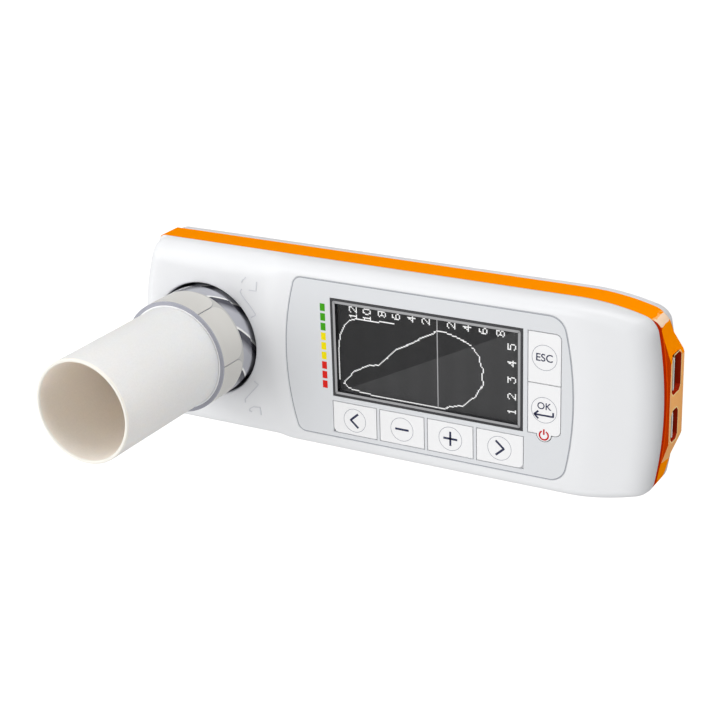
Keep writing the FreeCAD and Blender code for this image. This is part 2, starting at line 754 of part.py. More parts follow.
def rear_shell():
    body = new_body("rear_shell")
    rim = sketch_on(body, "XY_Plane", "rear_bend")
    case_outline(rim)
    pad(body, rim, "rear_straight")
    back = sketch_on(body, "XY_Plane", "rear_bend")
    case_outline(back)
    pad(body, back, "rear_bend", reverse=True, taper="rear_taper")
    round_case_corners(body)
    round_edges(body, "rear_roll", flat_at("0"))
    high_cavity = sketch_on(body, "XY_Plane", "rear_bend")
    case_outline(high_cavity, "wall")
    pocket(body, high_cavity, "rear_depth")
    low_cavity = sketch_on(body, "XY_Plane", "rear_bend")
    case_outline(low_cavity, "wall")
    pocket(body, low_cavity, "rear_bend - wall", upwards=False, taper="rear_taper")
    seat_room = sketch_on(body, "XZ_Plane", across="turbine_place")
    polygon(seat_room, [
        ("0", "wall"),
        ("seat_outer + seat_gap - seat_chamfer", "wall"),
        ("seat_outer + seat_gap", "wall + seat_chamfer"),
        ("seat_outer + seat_gap", "rear_depth + wall"),
        ("0", "rear_depth + wall"),
    ])
    turned(body, seat_room, "Groove")

    notch = sketch_on(body, "YZ_Plane", "face_x + wall")
    edge = nose_edge("seat_gap")
    polygon(notch, edge + [(edge[-1][0], "rear_depth + wall"), (edge[0][0], "rear_depth + wall")])
    pocket(body, notch, "5.5 * wall", upwards=False)

    bosses = sketch_on(body, "XY_Plane", "wall / 2")
    for x, y in boss_places():
        circle(bosses, "boss", x, y)
    pad(body, bosses, "rear_depth - wall / 2")
    compartment = sketch_on(body, "XY_Plane", "wall / 2")
    rectangle(compartment, "battery_place - door_half_length - compartment_wall",
              "-door_half_width - compartment_wall",
              "battery_place + door_half_length + compartment_wall", "door_half_width + compartment_wall")
    pad(body, compartment, "battery_height + door_thick - wall / 2 - 1.0")
    bay = sketch_on(body, "XY_Plane", "-wall")
    room = "(battery_gap + battery_width / 2)"
    rectangle(bay, "battery_place - battery_length / 2 - battery_gap", f"-{room}",
              "battery_place + battery_length / 2 + battery_gap", room)
    pocket(body, bay, "rear_depth + 2 * wall")
    rebate = sketch_on(body, "XY_Plane", "-wall")
    rectangle(rebate, "battery_place - door_half_length", "-door_half_width",
              "battery_place + door_half_length", "door_half_width")
    pocket(body, rebate, "wall + door_thick + seat_gap")

    wells = sketch_on(body, "XY_Plane", "-wall")
    for x, y in boss_places():
        circle(wells, "screw_head + 2 * seat_gap", x, y)
    pocket(body, wells, "wall + screw_well")
    holes = sketch_on(body, "XY_Plane", "-wall")
    for x, y in boss_places():
        circle(holes, "screw + seat_gap", x, y)
    pocket(body, holes, "rear_depth + 2 * wall")
    airway = sketch_on(body, "XY_Plane", "-wall")
    circle(airway, "neck + 3 * seat_gap", "turbine_place")
    pocket(body, airway, "2 * wall + seat_floor")
    door_thread = sketch_on(body, "XY_Plane", "-wall")
    circle(door_thread, "board_screw + screw_gap", "door_screw_place")
    pocket(body, door_thread, "wall + battery_height / 2")
    return body


# Keypad overlay, bezel and window

def key_cells():
    """Each key's name with its left, bottom, right and top as expressions."""
    cells = []
    for k, name in enumerate(("key_back", "key_minus", "key_plus", "key_forward")):
        left = f"key_row_left + {k} * key_pitch"
        cells.append((name, left, "key_row_bottom", f"{left} + key_width", "key_row_bottom + key_height"))
    for k, name in enumerate(("key_ok", "key_esc")):
        bottom = f"side_key_bottom + {k} * (side_key_height + side_key_gap)"
        cells.append((name, "side_key_left", bottom, "side_key_left + side_key_width",
                      f"{bottom} + side_key_height"))
    return cells


def keypad_overlay():
    body = new_body("keypad_overlay")
    outline = sketch_on(body, "XY_Plane", "overlay_level")
    overlay_outline(outline)
    pad(body, outline, "overlay_thick")
    middle = value("display_left")
    round_edges(body, "overlay_left_corner", lambda e: upright(e) and e.BoundBox.XMax < middle)
    round_edges(body, "overlay_right_corner", lambda e: upright(e) and e.BoundBox.XMin > middle)
    cuts = sketch_on(body, "XY_Plane", "overlay_level")
    rectangle(cuts, "display_left - seat_gap", "display_bottom - seat_gap",
              "display_right + seat_gap", "display_top + seat_gap")
    for name, left, bottom, right, top in key_cells()[:4]:
        rectangle(cuts, f"{left} - key_gap", f"{bottom} - key_gap",
                  f"{right} + key_gap", f"{top} + key_gap")
    rectangle(cuts, "side_key_left - key_gap", "side_key_bottom - key_gap",
              "side_key_left + side_key_width + key_gap", "side_keys_top + key_gap")
    pocket(body, cuts, "overlay_thick + wall")
    right_edge = value("side_key_left + side_key_width")
    round_edges(body, "key_corner + key_gap", lambda e: upright(e) and abs(e.BoundBox.XMin - right_edge) < 0.5)
    lobe = sketch_on(body, "XY_Plane", "overlay_level")
    circle(lobe, "power_lobe + key_gap", "side_middle", "side_key_bottom")
    pocket(body, lobe, "overlay_thick + wall")
    return body


def display_bezel():
    body = new_body("display_bezel")
    outline = sketch_on(body, "XY_Plane", "overlay_level")
    rectangle(outline, "display_left", "display_bottom", "display_right", "display_top")
    pad(body, outline, "overlay_thick")
    rebate = sketch_on(body, "XY_Plane", "case_top - window_thick")
    edge = "(bezel_edge - window_ledge)"
    rectangle(rebate, f"display_left + {edge}", f"display_bottom + {edge}",
              f"display_right - {edge}", f"display_top - {edge}")
    pocket(body, rebate, "overlay_thick")
    through = sketch_on(body, "XY_Plane", "roof")
    rectangle(through, "display_left + bezel_edge", "display_bottom + bezel_edge",
              "display_right - bezel_edge", "display_top - bezel_edge")
    pocket(body, through, "2 * wall")
    return body


def box_part(label, x, y, z, length, width, height):
    """A plain box between bound sizes."""
    box = doc.addObject("Part::Box", label)
    box.Label = label
    tie(box, Length=length, Width=width, Height=height,
        Placement__Base__x=x, Placement__Base__y=y, Placement__Base__z=z)
    return box


def cylinder_part(label, radius, height, x="0", y="0", z="0"):
    """A plain upright cylinder of bound sizes."""
    cylinder = doc.addObject("Part::Cylinder", label)
    cylinder.Label = label
    tie(cylinder, Radius=radius, Height=height,
        Placement__Base__x=x, Placement__Base__y=y, Placement__Base__z=z)
    return cylinder


def fused(label, shapes):
    """Several objects joined into one."""
    union = doc.addObject("Part::MultiFuse", label)
    union.Label = label
    union.Shapes = shapes
    return union


def display_stack():
    """The window in its rebate, the display glass under it and the backlight that stands on the board."""
    edge = "(bezel_edge - window_ledge + seat_gap / 2)"
    window = box_part("display_window", f"display_left + {edge}", f"display_bottom + {edge}",
                      "case_top - window_thick", f"display_width - 2 * {edge}", f"display_height - 2 * {edge}",
                      "window_thick")
    inner = "(bezel_edge - window_ledge + seat_gap)"
    glass = box_part("lcd_glass", f"display_left + {inner}", f"display_bottom + {inner}",
                     "overlay_level - seat_gap - glass_thick", f"display_width - 2 * {inner}",
                     f"display_height - 2 * {inner}", "glass_thick")
    light = box_part("backlight_panel", "display_left - backlight_margin / 2",
                     "display_bottom - backlight_margin / 4", "board_top",
                     "display_width + backlight_margin / 2", "display_height + backlight_margin",
                     "overlay_level - seat_gap - glass_thick - board_top")
    return [window, glass, light]


# Keys: a flush cap, a lip that the overlay holds down and a plunger over its dome

def key(name, left, bottom, right, top):
    body = new_body(name)
    row_key = name in ("key_back", "key_minus", "key_plus", "key_forward")
    cap = sketch_on(body, "XY_Plane", "overlay_level - lip_gap")
    rectangle(cap, left, bottom, right, top)
    pad(body, cap, "overlay_thick + lip_gap")
    if row_key:
        rounded = {"key_back": left, "key_forward": right}.get(name)
        if rounded:
            corner = value(rounded)
            low = value(bottom)
            round_edges(body, "key_corner", lambda e: upright(e) and abs(e.BoundBox.XMin - corner) < 0.01
                        and abs(e.BoundBox.YMin - low) < 0.01)
    else:
        corner = value(right)
        outer = value(bottom if name == "key_ok" else top)
        round_edges(body, "key_corner", lambda e: upright(e) and abs(e.BoundBox.XMin - corner) < 0.01
                    and abs(e.BoundBox.YMin - outer) < 0.01)
    if name == "key_ok":
        lobe = sketch_on(body, "XY_Plane", "overlay_level - lip_gap")
        circle(lobe, "power_lobe", "side_middle", "side_key_bottom")
        pad(body, lobe, "overlay_thick + lip_gap")
    lip = sketch_on(body, "XY_Plane", "overlay_level - lip_gap")
    across = "key_gap / 2" if row_key else "(key_gap + key_lip)"
    along = "(key_gap + key_lip)" if row_key else "0"
    rectangle(lip, f"{left} - {across}", f"{bottom} - {along}", f"{right} + {across}", f"{top} + {along}")
    pad(body, lip, "lip_thick", reverse=True)
    stem = sketch_on(body, "XY_Plane", "plunger_foot")
    circle(stem, "plunger", f"({left} + {right}) / 2", "row_middle" if row_key else f"({bottom} + {top}) / 2")
    pad(body, stem, "overlay_level - plunger_foot")
    return body


def key_domes():
    """The foil on the board with a snap dome under each plunger."""
    body = new_body("key_domes")
    foil = sketch_on(body, "XY_Plane", "board_top")
    margin = "(dome + 0.5)"
    right = "side_middle"
    row_top = f"row_middle + {margin}"
    polygon(foil, [
        (f"key_row_left + key_width / 2 - {margin}", f"row_middle - {margin}"),
        (f"{right} + {margin}", f"row_middle - {margin}"),
        (f"{right} + {margin}", f"side_key_bottom + 1.5 * side_key_height + side_key_gap + {margin}"),
        (f"{right} - {margin}", f"side_key_bottom + 1.5 * side_key_height + side_key_gap + {margin}"),
        (f"{right} - {margin}", row_top),
        (f"key_row_left + key_width / 2 - {margin}", row_top),
    ])
    pad(body, foil, "dome_rise / 3")
    domes = sketch_on(body, "XY_Plane", "board_top")
    for name, left, bottom, right, top in key_cells():
        circle(domes, "dome", f"({left} + {right}) / 2", f"({bottom} + {top}) / 2")
    pad(body, domes, "dome_rise")
    return body


# Boards, sockets, battery and screws

def main_board():
    body = new_body("main_board")
    outline = sketch_on(body, "XY_Plane", "board_level")
    rectangle(outline, "board_left", "-board_half_width", "board_right", "board_half_width")
    pad(body, outline, "board_thick")
    clearances = sketch_on(body, "XY_Plane", "board_level")
    for x, y in boss_places()[2:]:
        circle(clearances, "boss + 4 * seat_gap", x, y)
    pocket(body, clearances, "2 * board_thick")
    holes = sketch_on(body, "XY_Plane", "board_level")
    for x, y in board_screw_places():
        circle(holes, "board_screw + seat_gap", x, y)
    pocket(body, holes, "2 * board_thick")
    return body


def port_socket(label, place, level, width, height):
    """A socket behind a port: a metal shell open towards the nose, with a tongue on its back wall."""
    body = new_body(label)
    front = "(face_x - nose_proud - wall - socket_setback)"
    half = f"({width} / 2 - socket_gap)"
    tall = f"({height} / 2 - socket_gap)"
    shell = sketch_on(body, "YZ_Plane", front)
    rectangle(shell, f"{place} - {half}", f"{level} - {tall}", f"{place} + {half}", f"{level} + {tall}")
    pad(body, shell, "socket_length", reverse=True)
    room = sketch_on(body, "YZ_Plane", front)
    rectangle(room, f"{place} - {half} + socket_wall", f"{level} - {tall} + socket_wall",
              f"{place} + {half} - socket_wall", f"{level} + {tall} - socket_wall")
    pocket(body, room, "socket_length - 3 * socket_wall", upwards=False)
    tongue = sketch_on(body, "YZ_Plane", f"{front} - tongue_recess")
    rectangle(tongue, f"{place} - 0.7 * {half}", f"{level} - tongue_thick / 2",
              f"{place} + 0.7 * {half}", f"{level} + tongue_thick / 2")
    pad(body, tongue, "socket_length - tongue_recess - socket_wall", reverse=True)
    return body


def screw(label, x, y, seat, head_height, length, radius, head):
    """A screw with its head below the seat and its shank going up, with a cross recess."""
    body = new_body(label)
    head_sketch = sketch_on(body, "XY_Plane", seat)
    circle(head_sketch, head, x, y)
    pad(body, head_sketch, head_height, reverse=True)
    shank = sketch_on(body, "XY_Plane", seat)
    circle(shank, radius, x, y)
    pad(body, shank, length)
    cross = sketch_on(body, "XY_Plane", f"{seat} - {head_height}")
    arm = f"(0.6 * {head})"
    slot = f"(0.16 * {head})"
    places = [(1, 1, slot, slot), (1, 1, slot, arm), (-1, 1, slot, arm), (-1, 1, slot, slot),
              (-1, 1, arm, slot), (-1, -1, arm, slot), (-1, -1, slot, slot), (-1, -1, slot, arm),
              (1, -1, slot, arm), (1, -1, slot, slot), (1, -1, arm, slot), (1, 1, arm, slot)]
    polygon(cross, [(f"{x} + {sx} * {dx}", f"{y} + {sy} * {dy}") for sx, sy, dx, dy in places])
    pocket(body, cross, f"0.6 * {head_height}")
    return body


def screws():
    made = []
    for k, (x, y) in enumerate(boss_places(), start=1):
        made.append(screw(f"case_screw_{k}", x, y, "screw_well", "screw_head_height",
                          "rear_depth - screw_well + screw_bite", "screw", "screw_head"))
    for k, (x, y) in enumerate(board_screw_places(), start=1):
        made.append(screw(f"board_screw_{k}", x, y, "board_level", "screw_head_height / 2",
                          "roof - board_level - 3 * seat_gap", "board_screw", "2 * board_screw"))
    made.append(screw("battery_door_screw", "door_screw_place", "0", "door_thick / 2", "door_thick / 2 - seat_gap",
                      "battery_height / 2 - door_thick", "board_screw", "2 * board_screw"))
    return made


def battery():
    """The pack on its door, the door in its rebate, and the contacts that hang from the board."""
    pack = doc.addObject("Part::Box", "battery_block")
    tie(pack, Length="battery_length", Width="battery_width", Height="battery_height",
        Placement__Base__x="battery_place - battery_length / 2", Placement__Base__y="-battery_width / 2",
        Placement__Base__z="door_thick + seat_gap")
    doc.recompute()
    rounded = doc.addObject("Part::Fillet", "battery_pack")
    rounded.Label = "battery_pack"
    rounded.Base = pack
    radius = value("battery_height / 5")
    rounded.Edges = [(k, radius, radius) for k in range(1, 13)]
    door = new_body("battery_door")
    plate = sketch_on(door, "XY_Plane")
    rectangle(plate, "battery_place - door_half_length + door_gap", "-door_half_width + door_gap",
              "battery_place + door_half_length - door_gap", "door_half_width - door_gap")
    pad(door, plate, "door_thick")
    sunk = sketch_on(door, "XY_Plane", "-wall")
    circle(sunk, "2 * board_screw + seat_gap", "door_screw_place")
    pocket(door, sunk, "wall + door_thick / 2")
    hole = sketch_on(door, "XY_Plane", "-wall")
    circle(hole, "board_screw + seat_gap", "door_screw_place")
    pocket(door, hole, "2 * wall")
    contacts = box_part("battery_contacts", "battery_place - battery_length / 2", "-battery_width / 4",
                        "door_thick + battery_height + 2 * seat_gap", "battery_length / 8", "battery_width / 2",
                        "board_level - door_thick - battery_height - 2 * seat_gap")
    return [rounded, door, contacts]


def board_parts():
    """The sounder and the chips under the board."""
    sounder = cylinder_part("buzzer", "buzzer", "buzzer_height", "battery_place + battery_length / 2 + buzzer",
                            "board_half_width / 2", "board_level - buzzer_height")
    chip = box_part("processor_chip", "battery_place - chip_size / 2", "-chip_size / 2",
                    "board_level - chip_height", "chip_size", "chip_size", "chip_height")
    radio = box_part("radio_module", "board_left + chip_size", "-board_half_width + chip_size / 12",
                     "board_level - chip_height", "1.4 * chip_size", "chip_size", "chip_height")
    return [sounder, chip, radio]


# Turbine seat and flow sensor

def turbine_seat():
    body = new_body("turbine_seat", "turbine_place")
    profile = sketch_on(body, "XZ_Plane")
    polygon(profile, [
        ("neck + 3 * seat_gap", "wall"),
        ("seat_outer - seat_chamfer", "wall"),
        ("seat_outer", "wall + seat_chamfer"),
        ("seat_outer", "roof"),
        ("turbine_hole", "roof"),
        ("turbine_hole", "ledge_level + ledge_thick"),
        ("tube + ledge_gap", "ledge_level + ledge_thick"),
        ("tube + ledge_gap", "ledge_level"),
        ("turbine_hole", "ledge_level"),
        ("turbine_hole", "wall + seat_floor"),
        ("neck + 3 * seat_gap", "wall + seat_floor"),
    ])
    turned(body, profile)
    entry = sketch_on(body, "XZ_Plane", turn="lock_angle - entry_gap", about=Vector(0, 1, 0))
    rectangle(entry, "tube", "ledge_level - 0.1", "turbine_hole", "ledge_level + ledge_thick + 0.1")
    around(body, turned(body, entry, "Groove", "lug_angle + 2 * entry_gap"), "lug_count")
    holes = sketch_on(body, "XZ_Plane", "-2 * case_width")
    circle(holes, "emitter + emitter_fit", "0", "rotor_middle")
    pocket(body, holes, "4 * case_width")
    return body


def flow_sensor():
    """The emitter and detector that look through the clear tube, each on its own small board."""
    made = []
    for label, side, angle in (("infrared_emitter", 1, -90), ("infrared_detector", -1, 90)):
        lens = doc.addObject("Part::Cylinder", f"{label}_lens")
        flange = doc.addObject("Part::Cylinder", f"{label}_flange")
        tie(lens, Radius="emitter", Height="sensor_board_place - turbine_hole - emitter_fit")
        tie(flange, Radius="emitter_flange", Height="flange_thick")
        starts = ((lens, "turbine_hole + emitter_fit"), (flange, "sensor_board_place - flange_thick"))
        for item, start in starts:
            item.Placement = FreeCAD.Placement(Vector(), FreeCAD.Rotation(Vector(1, 0, 0), angle))
            tie(item, Placement__Base__x="turbine_place", Placement__Base__y=f"{side} * ({start})",
                Placement__Base__z="rotor_middle")
        made.append(fused(label, [lens, flange]))
    for label, place in (("emitter_board", "sensor_board_place"),
                         ("detector_board", "-sensor_board_place - sensor_board_thick")):
        made.append(box_part(label, "turbine_place - sensor_board_width / 2", place, "rear_depth",
                             "sensor_board_width", "sensor_board_thick", "roof - rear_depth - wall"))
    return made


# Turbine: the clear tube with its socket, two swirlers, two bearings and the rotor

def turbine_housing():
    body = new_body("turbine_housing", "turbine_place")
    profile = sketch_on(body, "XZ_Plane")
    base = "(socket - pad_rise)"
    polygon(profile, [
        ("tube_bore", "foot_gap"),
        ("neck", "foot_gap"),
        ("neck", "rest_level"),
        ("tube", "rest_level"),
        ("tube", "tube_top - shoulder_height"),
        (base, "tube_top - shoulder_height / 2"),
        (base, "socket_rim - 0.3"),
        (f"{base} + 0.1", "socket_rim"),
        ("socket - rim_thick", "socket_rim"),
        ("socket_end + push_fit", "socket_rim - lead_in"),
        ("socket_end + push_fit", "tube_top"),
        ("tube_bore", "tube_top"),
    ])
    turned(body, profile)
    grip = sketch_on(body, "XZ_Plane")
    rectangle(grip, "socket - 2 * pad_rise", "tube_top + 0.8", "socket", "socket_rim")
    around(body, turned(body, grip, "Revolution", "pad_angle"), "pad_count")
    lug = sketch_on(body, "XZ_Plane")
    rectangle(lug, "tube - 0.4", "lug_level", "tube + lug_reach", "lug_level + lug_thick")
    around(body, turned(body, lug, "Revolution", "lug_angle"), "lug_count")
    return body


def swirler(label, level, height, bearing_level, twist):
    """A ring and a hub joined by vanes that twist as they rise, with a pocket for the bearing."""
    body = new_body(label, "turbine_place")
    hub_sketch = sketch_on(body, "XY_Plane", level)
    circle(hub_sketch, "hub")
    pad(body, hub_sketch, height)
    ring = sketch_on(body, "XY_Plane", level)
    circle(ring, "tube_bore - swirler_fit")
    circle(ring, "tube_bore - swirler_fit - swirler_ring")
    steps = 4
    sections = []
    for k in range(steps + 1):
        section = sketch_on(body, "XY_Plane", f"{level} + {height} * {k} / {steps}",
                            turn=f"{twist} * {k} / {steps}")
        rectangle(section, "hub - 0.6", "-vane_thick / 2", "tube_bore - swirler_fit - swirler_ring / 2",
                  "vane_thick / 2")
        sections.append(section)
    vane = body.newObject("PartDesign::AdditiveLoft", f"{label}_vane")
    vane.Profile = sections[0]
    vane.Sections = sections[1:]
    doc.recompute()
    around(body, vane, "vane_count")
    pad(body, ring, height)
    seat = sketch_on(body, "XY_Plane", bearing_level)
    circle(seat, "bearing + swirler_fit")
    pocket(body, seat, "bearing_length")
    return body


def bearing(label, level, bore_level):
    """A cup that the axle turns in."""
    body = new_body(label, "turbine_place")
    cup = sketch_on(body, "XY_Plane", level)
    circle(cup, "bearing")
    pad(body, cup, "bearing_length")
    bore = sketch_on(body, "XY_Plane", bore_level)
    circle(bore, "axle + axle_fit")
    pocket(body, bore, "axle_reach + axle_fit")
    return body


def rotor():
    """The flat vane on its sleeve, and the axle through it."""
    vane = new_body("rotor_vane", "turbine_place")
    plate = sketch_on(vane, "XY_Plane", "rotor_middle - rotor_height / 2")
    rectangle(plate, "-rotor_half_width", "-rotor_thick / 2", "rotor_half_width", "rotor_thick / 2")
    pad(vane, plate, "rotor_height")
    sleeve = sketch_on(vane, "XY_Plane", "rotor_middle - rotor_height / 2")
    circle(sleeve, "sleeve")
    pad(vane, sleeve, "rotor_height")
    bore = sketch_on(vane, "XY_Plane", "rotor_middle - rotor_height / 2")
    circle(bore, "axle + axle_fit / 5")
    pocket(vane, bore, "rotor_height")
    axle = cylinder_part("rotor_axle", "axle", "axle_length - 0.1", "turbine_place", "0", "axle_foot + 0.05")
    return [vane, axle]


def mouthpiece():
    """The card tube, a shade narrower where it goes into the socket, so that it stops at the rim."""
    body = new_body("mouthpiece", "turbine_place")
    end = sketch_on(body, "XY_Plane", "tube_top + rest_gap")
    circle(end, "socket_end")
    circle(end, "mouthpiece - mouthpiece_wall")
    pad(body, end, "socket_rim - tube_top")
    ring = sketch_on(body, "XY_Plane", "socket_rim + rest_gap")
    circle(ring, "mouthpiece")
    circle(ring, "mouthpiece - mouthpiece_wall")
    pad(body, ring, "mouthpiece_length + tube_top - socket_rim")
    round_edges(body, "mouthpiece_wall / 4", flat_at("tube_top + rest_gap + mouthpiece_length"))
    return body


# Build, check and write

def build():
    """Make every sub-part in order."""
    parts = [front_shell(), middle_band(), rear_shell(), keypad_overlay(), display_bezel()]
    parts += display_stack()
    parts += [key(*cell) for cell in key_cells()]
    parts += [key_domes(), main_board()]
    parts.append(port_socket("usb_socket", "upper_port_place", "upper_port_level",
                             "upper_port_width", "upper_port_height"))
    parts.append(port_socket("sensor_socket", "lower_port_place", "lower_port_level",
                             "lower_port_width", "lower_port_height"))
    parts += screws()
    parts += battery()
    parts += board_parts()
    parts.append(turbine_seat())
    parts += flow_sensor()
    parts.append(turbine_housing())
    parts.append(swirler("rear_swirler", "rear_swirler_level", "rear_swirler_height",
                         "rear_swirler_level + rear_swirler_height - bearing_length", "-vane_twist"))
    parts.append(swirler("front_swirler", "front_swirler_level", "front_swirler_height",
                         "front_swirler_level", "vane_twist"))
    parts.append(bearing("rear_bearing", "rear_swirler_level + rear_swirler_height - bearing_length",
                         "axle_foot - axle_fit"))
    parts.append(bearing("front_bearing", "front_swirler_level", "front_swirler_level"))
    parts += rotor()
    parts.append(mouthpiece())
    return parts


def write(parts):
    """Check every object and write each sub-part to its own file."""
    doc.recompute()
    for item in doc.Objects:
        if "Invalid" in item.State or "Error" in item.State:
            raise ValueError(f"{item.Name} failed")
    os.makedirs("parts", exist_ok=True)
    for part in parts:
        shape = part.Shape
        if shape.isNull() or not shape.isValid():
            raise ValueError(f"{part.Label} has no valid shape")
        shape.exportStep(os.path.join("parts", f"{part.Label}.step"))
        print(part.Label, round(shape.Volume, 1), len(shape.Solids))


write(build())
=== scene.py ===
"""A handheld spirometer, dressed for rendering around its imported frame.

The device lies on its back: +X runs along the case to the connector end, +Y to the top long edge as the
display is read, and +Z out of the display. Sizes in this file are millimetres and become metres in a mesh.
"""

import json
import logging
import math
from collections.abc import Callable
from dataclasses import dataclass, field
from enum import Enum

import bmesh
import bpy
import numpy as np
from mathutils import Matrix, Vector


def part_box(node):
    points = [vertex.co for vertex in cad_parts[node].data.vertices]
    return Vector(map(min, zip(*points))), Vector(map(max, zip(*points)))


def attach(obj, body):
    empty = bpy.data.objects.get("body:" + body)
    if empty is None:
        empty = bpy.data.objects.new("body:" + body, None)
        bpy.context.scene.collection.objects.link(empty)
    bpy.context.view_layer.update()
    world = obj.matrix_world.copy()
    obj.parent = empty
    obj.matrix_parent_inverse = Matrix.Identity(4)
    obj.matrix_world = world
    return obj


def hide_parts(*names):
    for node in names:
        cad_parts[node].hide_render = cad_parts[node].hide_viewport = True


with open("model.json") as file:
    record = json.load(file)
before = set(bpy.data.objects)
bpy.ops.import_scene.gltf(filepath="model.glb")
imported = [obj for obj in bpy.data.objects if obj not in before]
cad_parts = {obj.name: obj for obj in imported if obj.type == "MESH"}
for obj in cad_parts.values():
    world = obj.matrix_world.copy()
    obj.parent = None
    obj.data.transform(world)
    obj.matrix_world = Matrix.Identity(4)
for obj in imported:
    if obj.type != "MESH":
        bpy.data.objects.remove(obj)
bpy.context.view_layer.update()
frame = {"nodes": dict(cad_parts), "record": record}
BODY = {node: body for body, nodes in frame["record"]["behaviour"]["bodies"].items() for node in nodes}
LOG = logging.getLogger("spirometer")
MM = 0.001
Colour = tuple[float, float, float]


def linear(red: int, green: int, blue: int) -> Colour:
    """Turn an 8-bit display colour into linear light with the usual two-piece display curve."""
    parts = np.array([red, green, blue]) / 255.0
    light = np.where(parts <= 0.04045, parts / 12.92, ((parts + 0.055) / 1.055) ** 2.4)
    return tuple(float(part) for part in light)


def low(node: str) -> np.ndarray:
    """Lowest corner of a CAD node in millimetres."""
    return np.array(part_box(node)[0]) / MM


def high(node: str) -> np.ndarray:
    """Highest corner of a CAD node in millimetres."""
    return np.array(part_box(node)[1]) / MM


# Finishes

class Nodes:
    """A material's node tree with short calls for adding and linking nodes."""

    def __init__(self, name: str) -> None:
        """Start a material that holds one Principled shader.

        Args:
            name: The material's name.
        """
        self.material = bpy.data.materials.new(name)
        self.material.use_nodes = True
        self.tree = self.material.node_tree
        self.shader = self.tree.nodes["Principled BSDF"]

    def add(self, kind: str, **settings: object) -> bpy.types.Node:
        """Add a node and set its properties, or its sockets where the name is a socket's.

        Args:
            kind: The node's type without its ShaderNode prefix.
            settings: Property or socket values; an underscore in a socket's name stands for a space.

        Returns:
            The new node.
        """
        node = self.tree.nodes.new(f"ShaderNode{kind}")
        for name, value in settings.items():
            socket = name.replace("_", " ")
            if socket in node.inputs:
                node.inputs[socket].default_value = value
            else:
                setattr(node, name, value)
        return node

    def link(self, source: bpy.types.NodeSocket, target: bpy.types.NodeSocket) -> None:
        """Link an output to an input."""
        self.tree.links.new(source, target)

    def set(self, **values: object) -> None:
        """Set sockets of the shader to constants."""
        for name, value in values.items():
            self.shader.inputs[name.replace("_", " ")].default_value = value

    def place(self) -> bpy.types.NodeSocket:
        """The Object coordinates."""
        return self.add("TexCoord").outputs["Object"]

    def noise(self, size: float, detail: float = 3.0) -> bpy.types.NodeSocket:
        """A noise value whose blotches are about a size across.

        Args:
            size: Size of a blotch in millimetres.
            detail: Octaves of finer noise.

        Returns:
            The value socket, from 0 to 1.
        """
        texture = self.add("TexNoise", Scale=1.0 / (size * MM), Detail=detail)
        self.link(self.place(), texture.inputs["Vector"])
        return texture.outputs["Fac"]

    def spread(self, value: bpy.types.NodeSocket, start: float, end: float) -> bpy.types.NodeSocket:
        """Map a 0 to 1 value to a range.

        Args:
            value: The value socket.
            start: The result at 0.
            end: The result at 1.

        Returns:
            The mapped socket.
        """
        mapped = self.add("MapRange", To_Min=start, To_Max=end)
        self.link(value, mapped.inputs["Value"])
        return mapped.outputs["Result"]

    def tint(self, value: bpy.types.NodeSocket, first: Colour, second: Colour) -> bpy.types.NodeSocket:
        """Run from one colour to another as a value goes from 0.3 to 0.7.

        Args:
            value: The value socket.
            first: Colour at the low end.
            second: Colour at the high end.

        Returns:
            The colour socket.
        """
        ramp = self.add("ValToRGB")
        ramp.color_ramp.elements[0].position = 0.3
        ramp.color_ramp.elements[0].color = (*first, 1.0)
        ramp.color_ramp.elements[1].position = 0.7
        ramp.color_ramp.elements[1].color = (*second, 1.0)
        self.link(value, ramp.inputs["Fac"])
        return ramp.outputs["Color"]

    def bump(self, height: bpy.types.NodeSocket, depth: float) -> None:
        """Drive the shader's normal with a bump.

        Args:
            height: The height socket, from 0 to 1.
            depth: Depth of the bump in millimetres.
        """
        node = self.add("Bump", Strength=1.0, Distance=depth * MM)
        self.link(height, node.inputs["Height"])
        self.link(node.outputs["Normal"], self.shader.inputs["Normal"])


@dataclass(frozen=True)
class Moulded:
    """A moulded plastic with faint cloudiness in its colour and a fine spark-eroded grain.

    Attributes:
        name: Material name.
        colour: Base colour in linear light.
        gloss: Roughness of the skin.
        grain: Depth of the grain in millimetres.
        grain_size: Size of a grain in millimetres.
        cloud: Share by which the colour darkens in its cloudy places.
        coat: Weight of a clear coat.
        shine: Strength of its reflections, 0.5 for most plastics.
        cover: How opaque it is.
    """
    name: str
    colour: Colour
    gloss: float = 0.36
    grain: float = 0.004
    grain_size: float = 0.35
    cloud: float = 0.02
    coat: float = 0.0
    shine: float = 0.5
    cover: float = 1.0

    def make(self) -> bpy.types.Material:
        """Build the material."""
        nodes = Nodes(self.name)
        darker = tuple(part * (1.0 - self.cloud) for part in self.colour)
        clouds = nodes.noise(9.0, 2.0)
        nodes.link(nodes.tint(clouds, darker, self.colour), nodes.shader.inputs["Base Color"])
        grain = nodes.noise(self.grain_size, 2.0)
        nodes.link(nodes.spread(grain, self.gloss - 0.05, self.gloss + 0.05),
                   nodes.shader.inputs["Roughness"])
        nodes.bump(grain, self.grain)
        nodes.set(Coat_Weight=self.coat, Coat_Roughness=0.12, Specular_IOR_Level=self.shine, Alpha=self.cover)
        return nodes.material


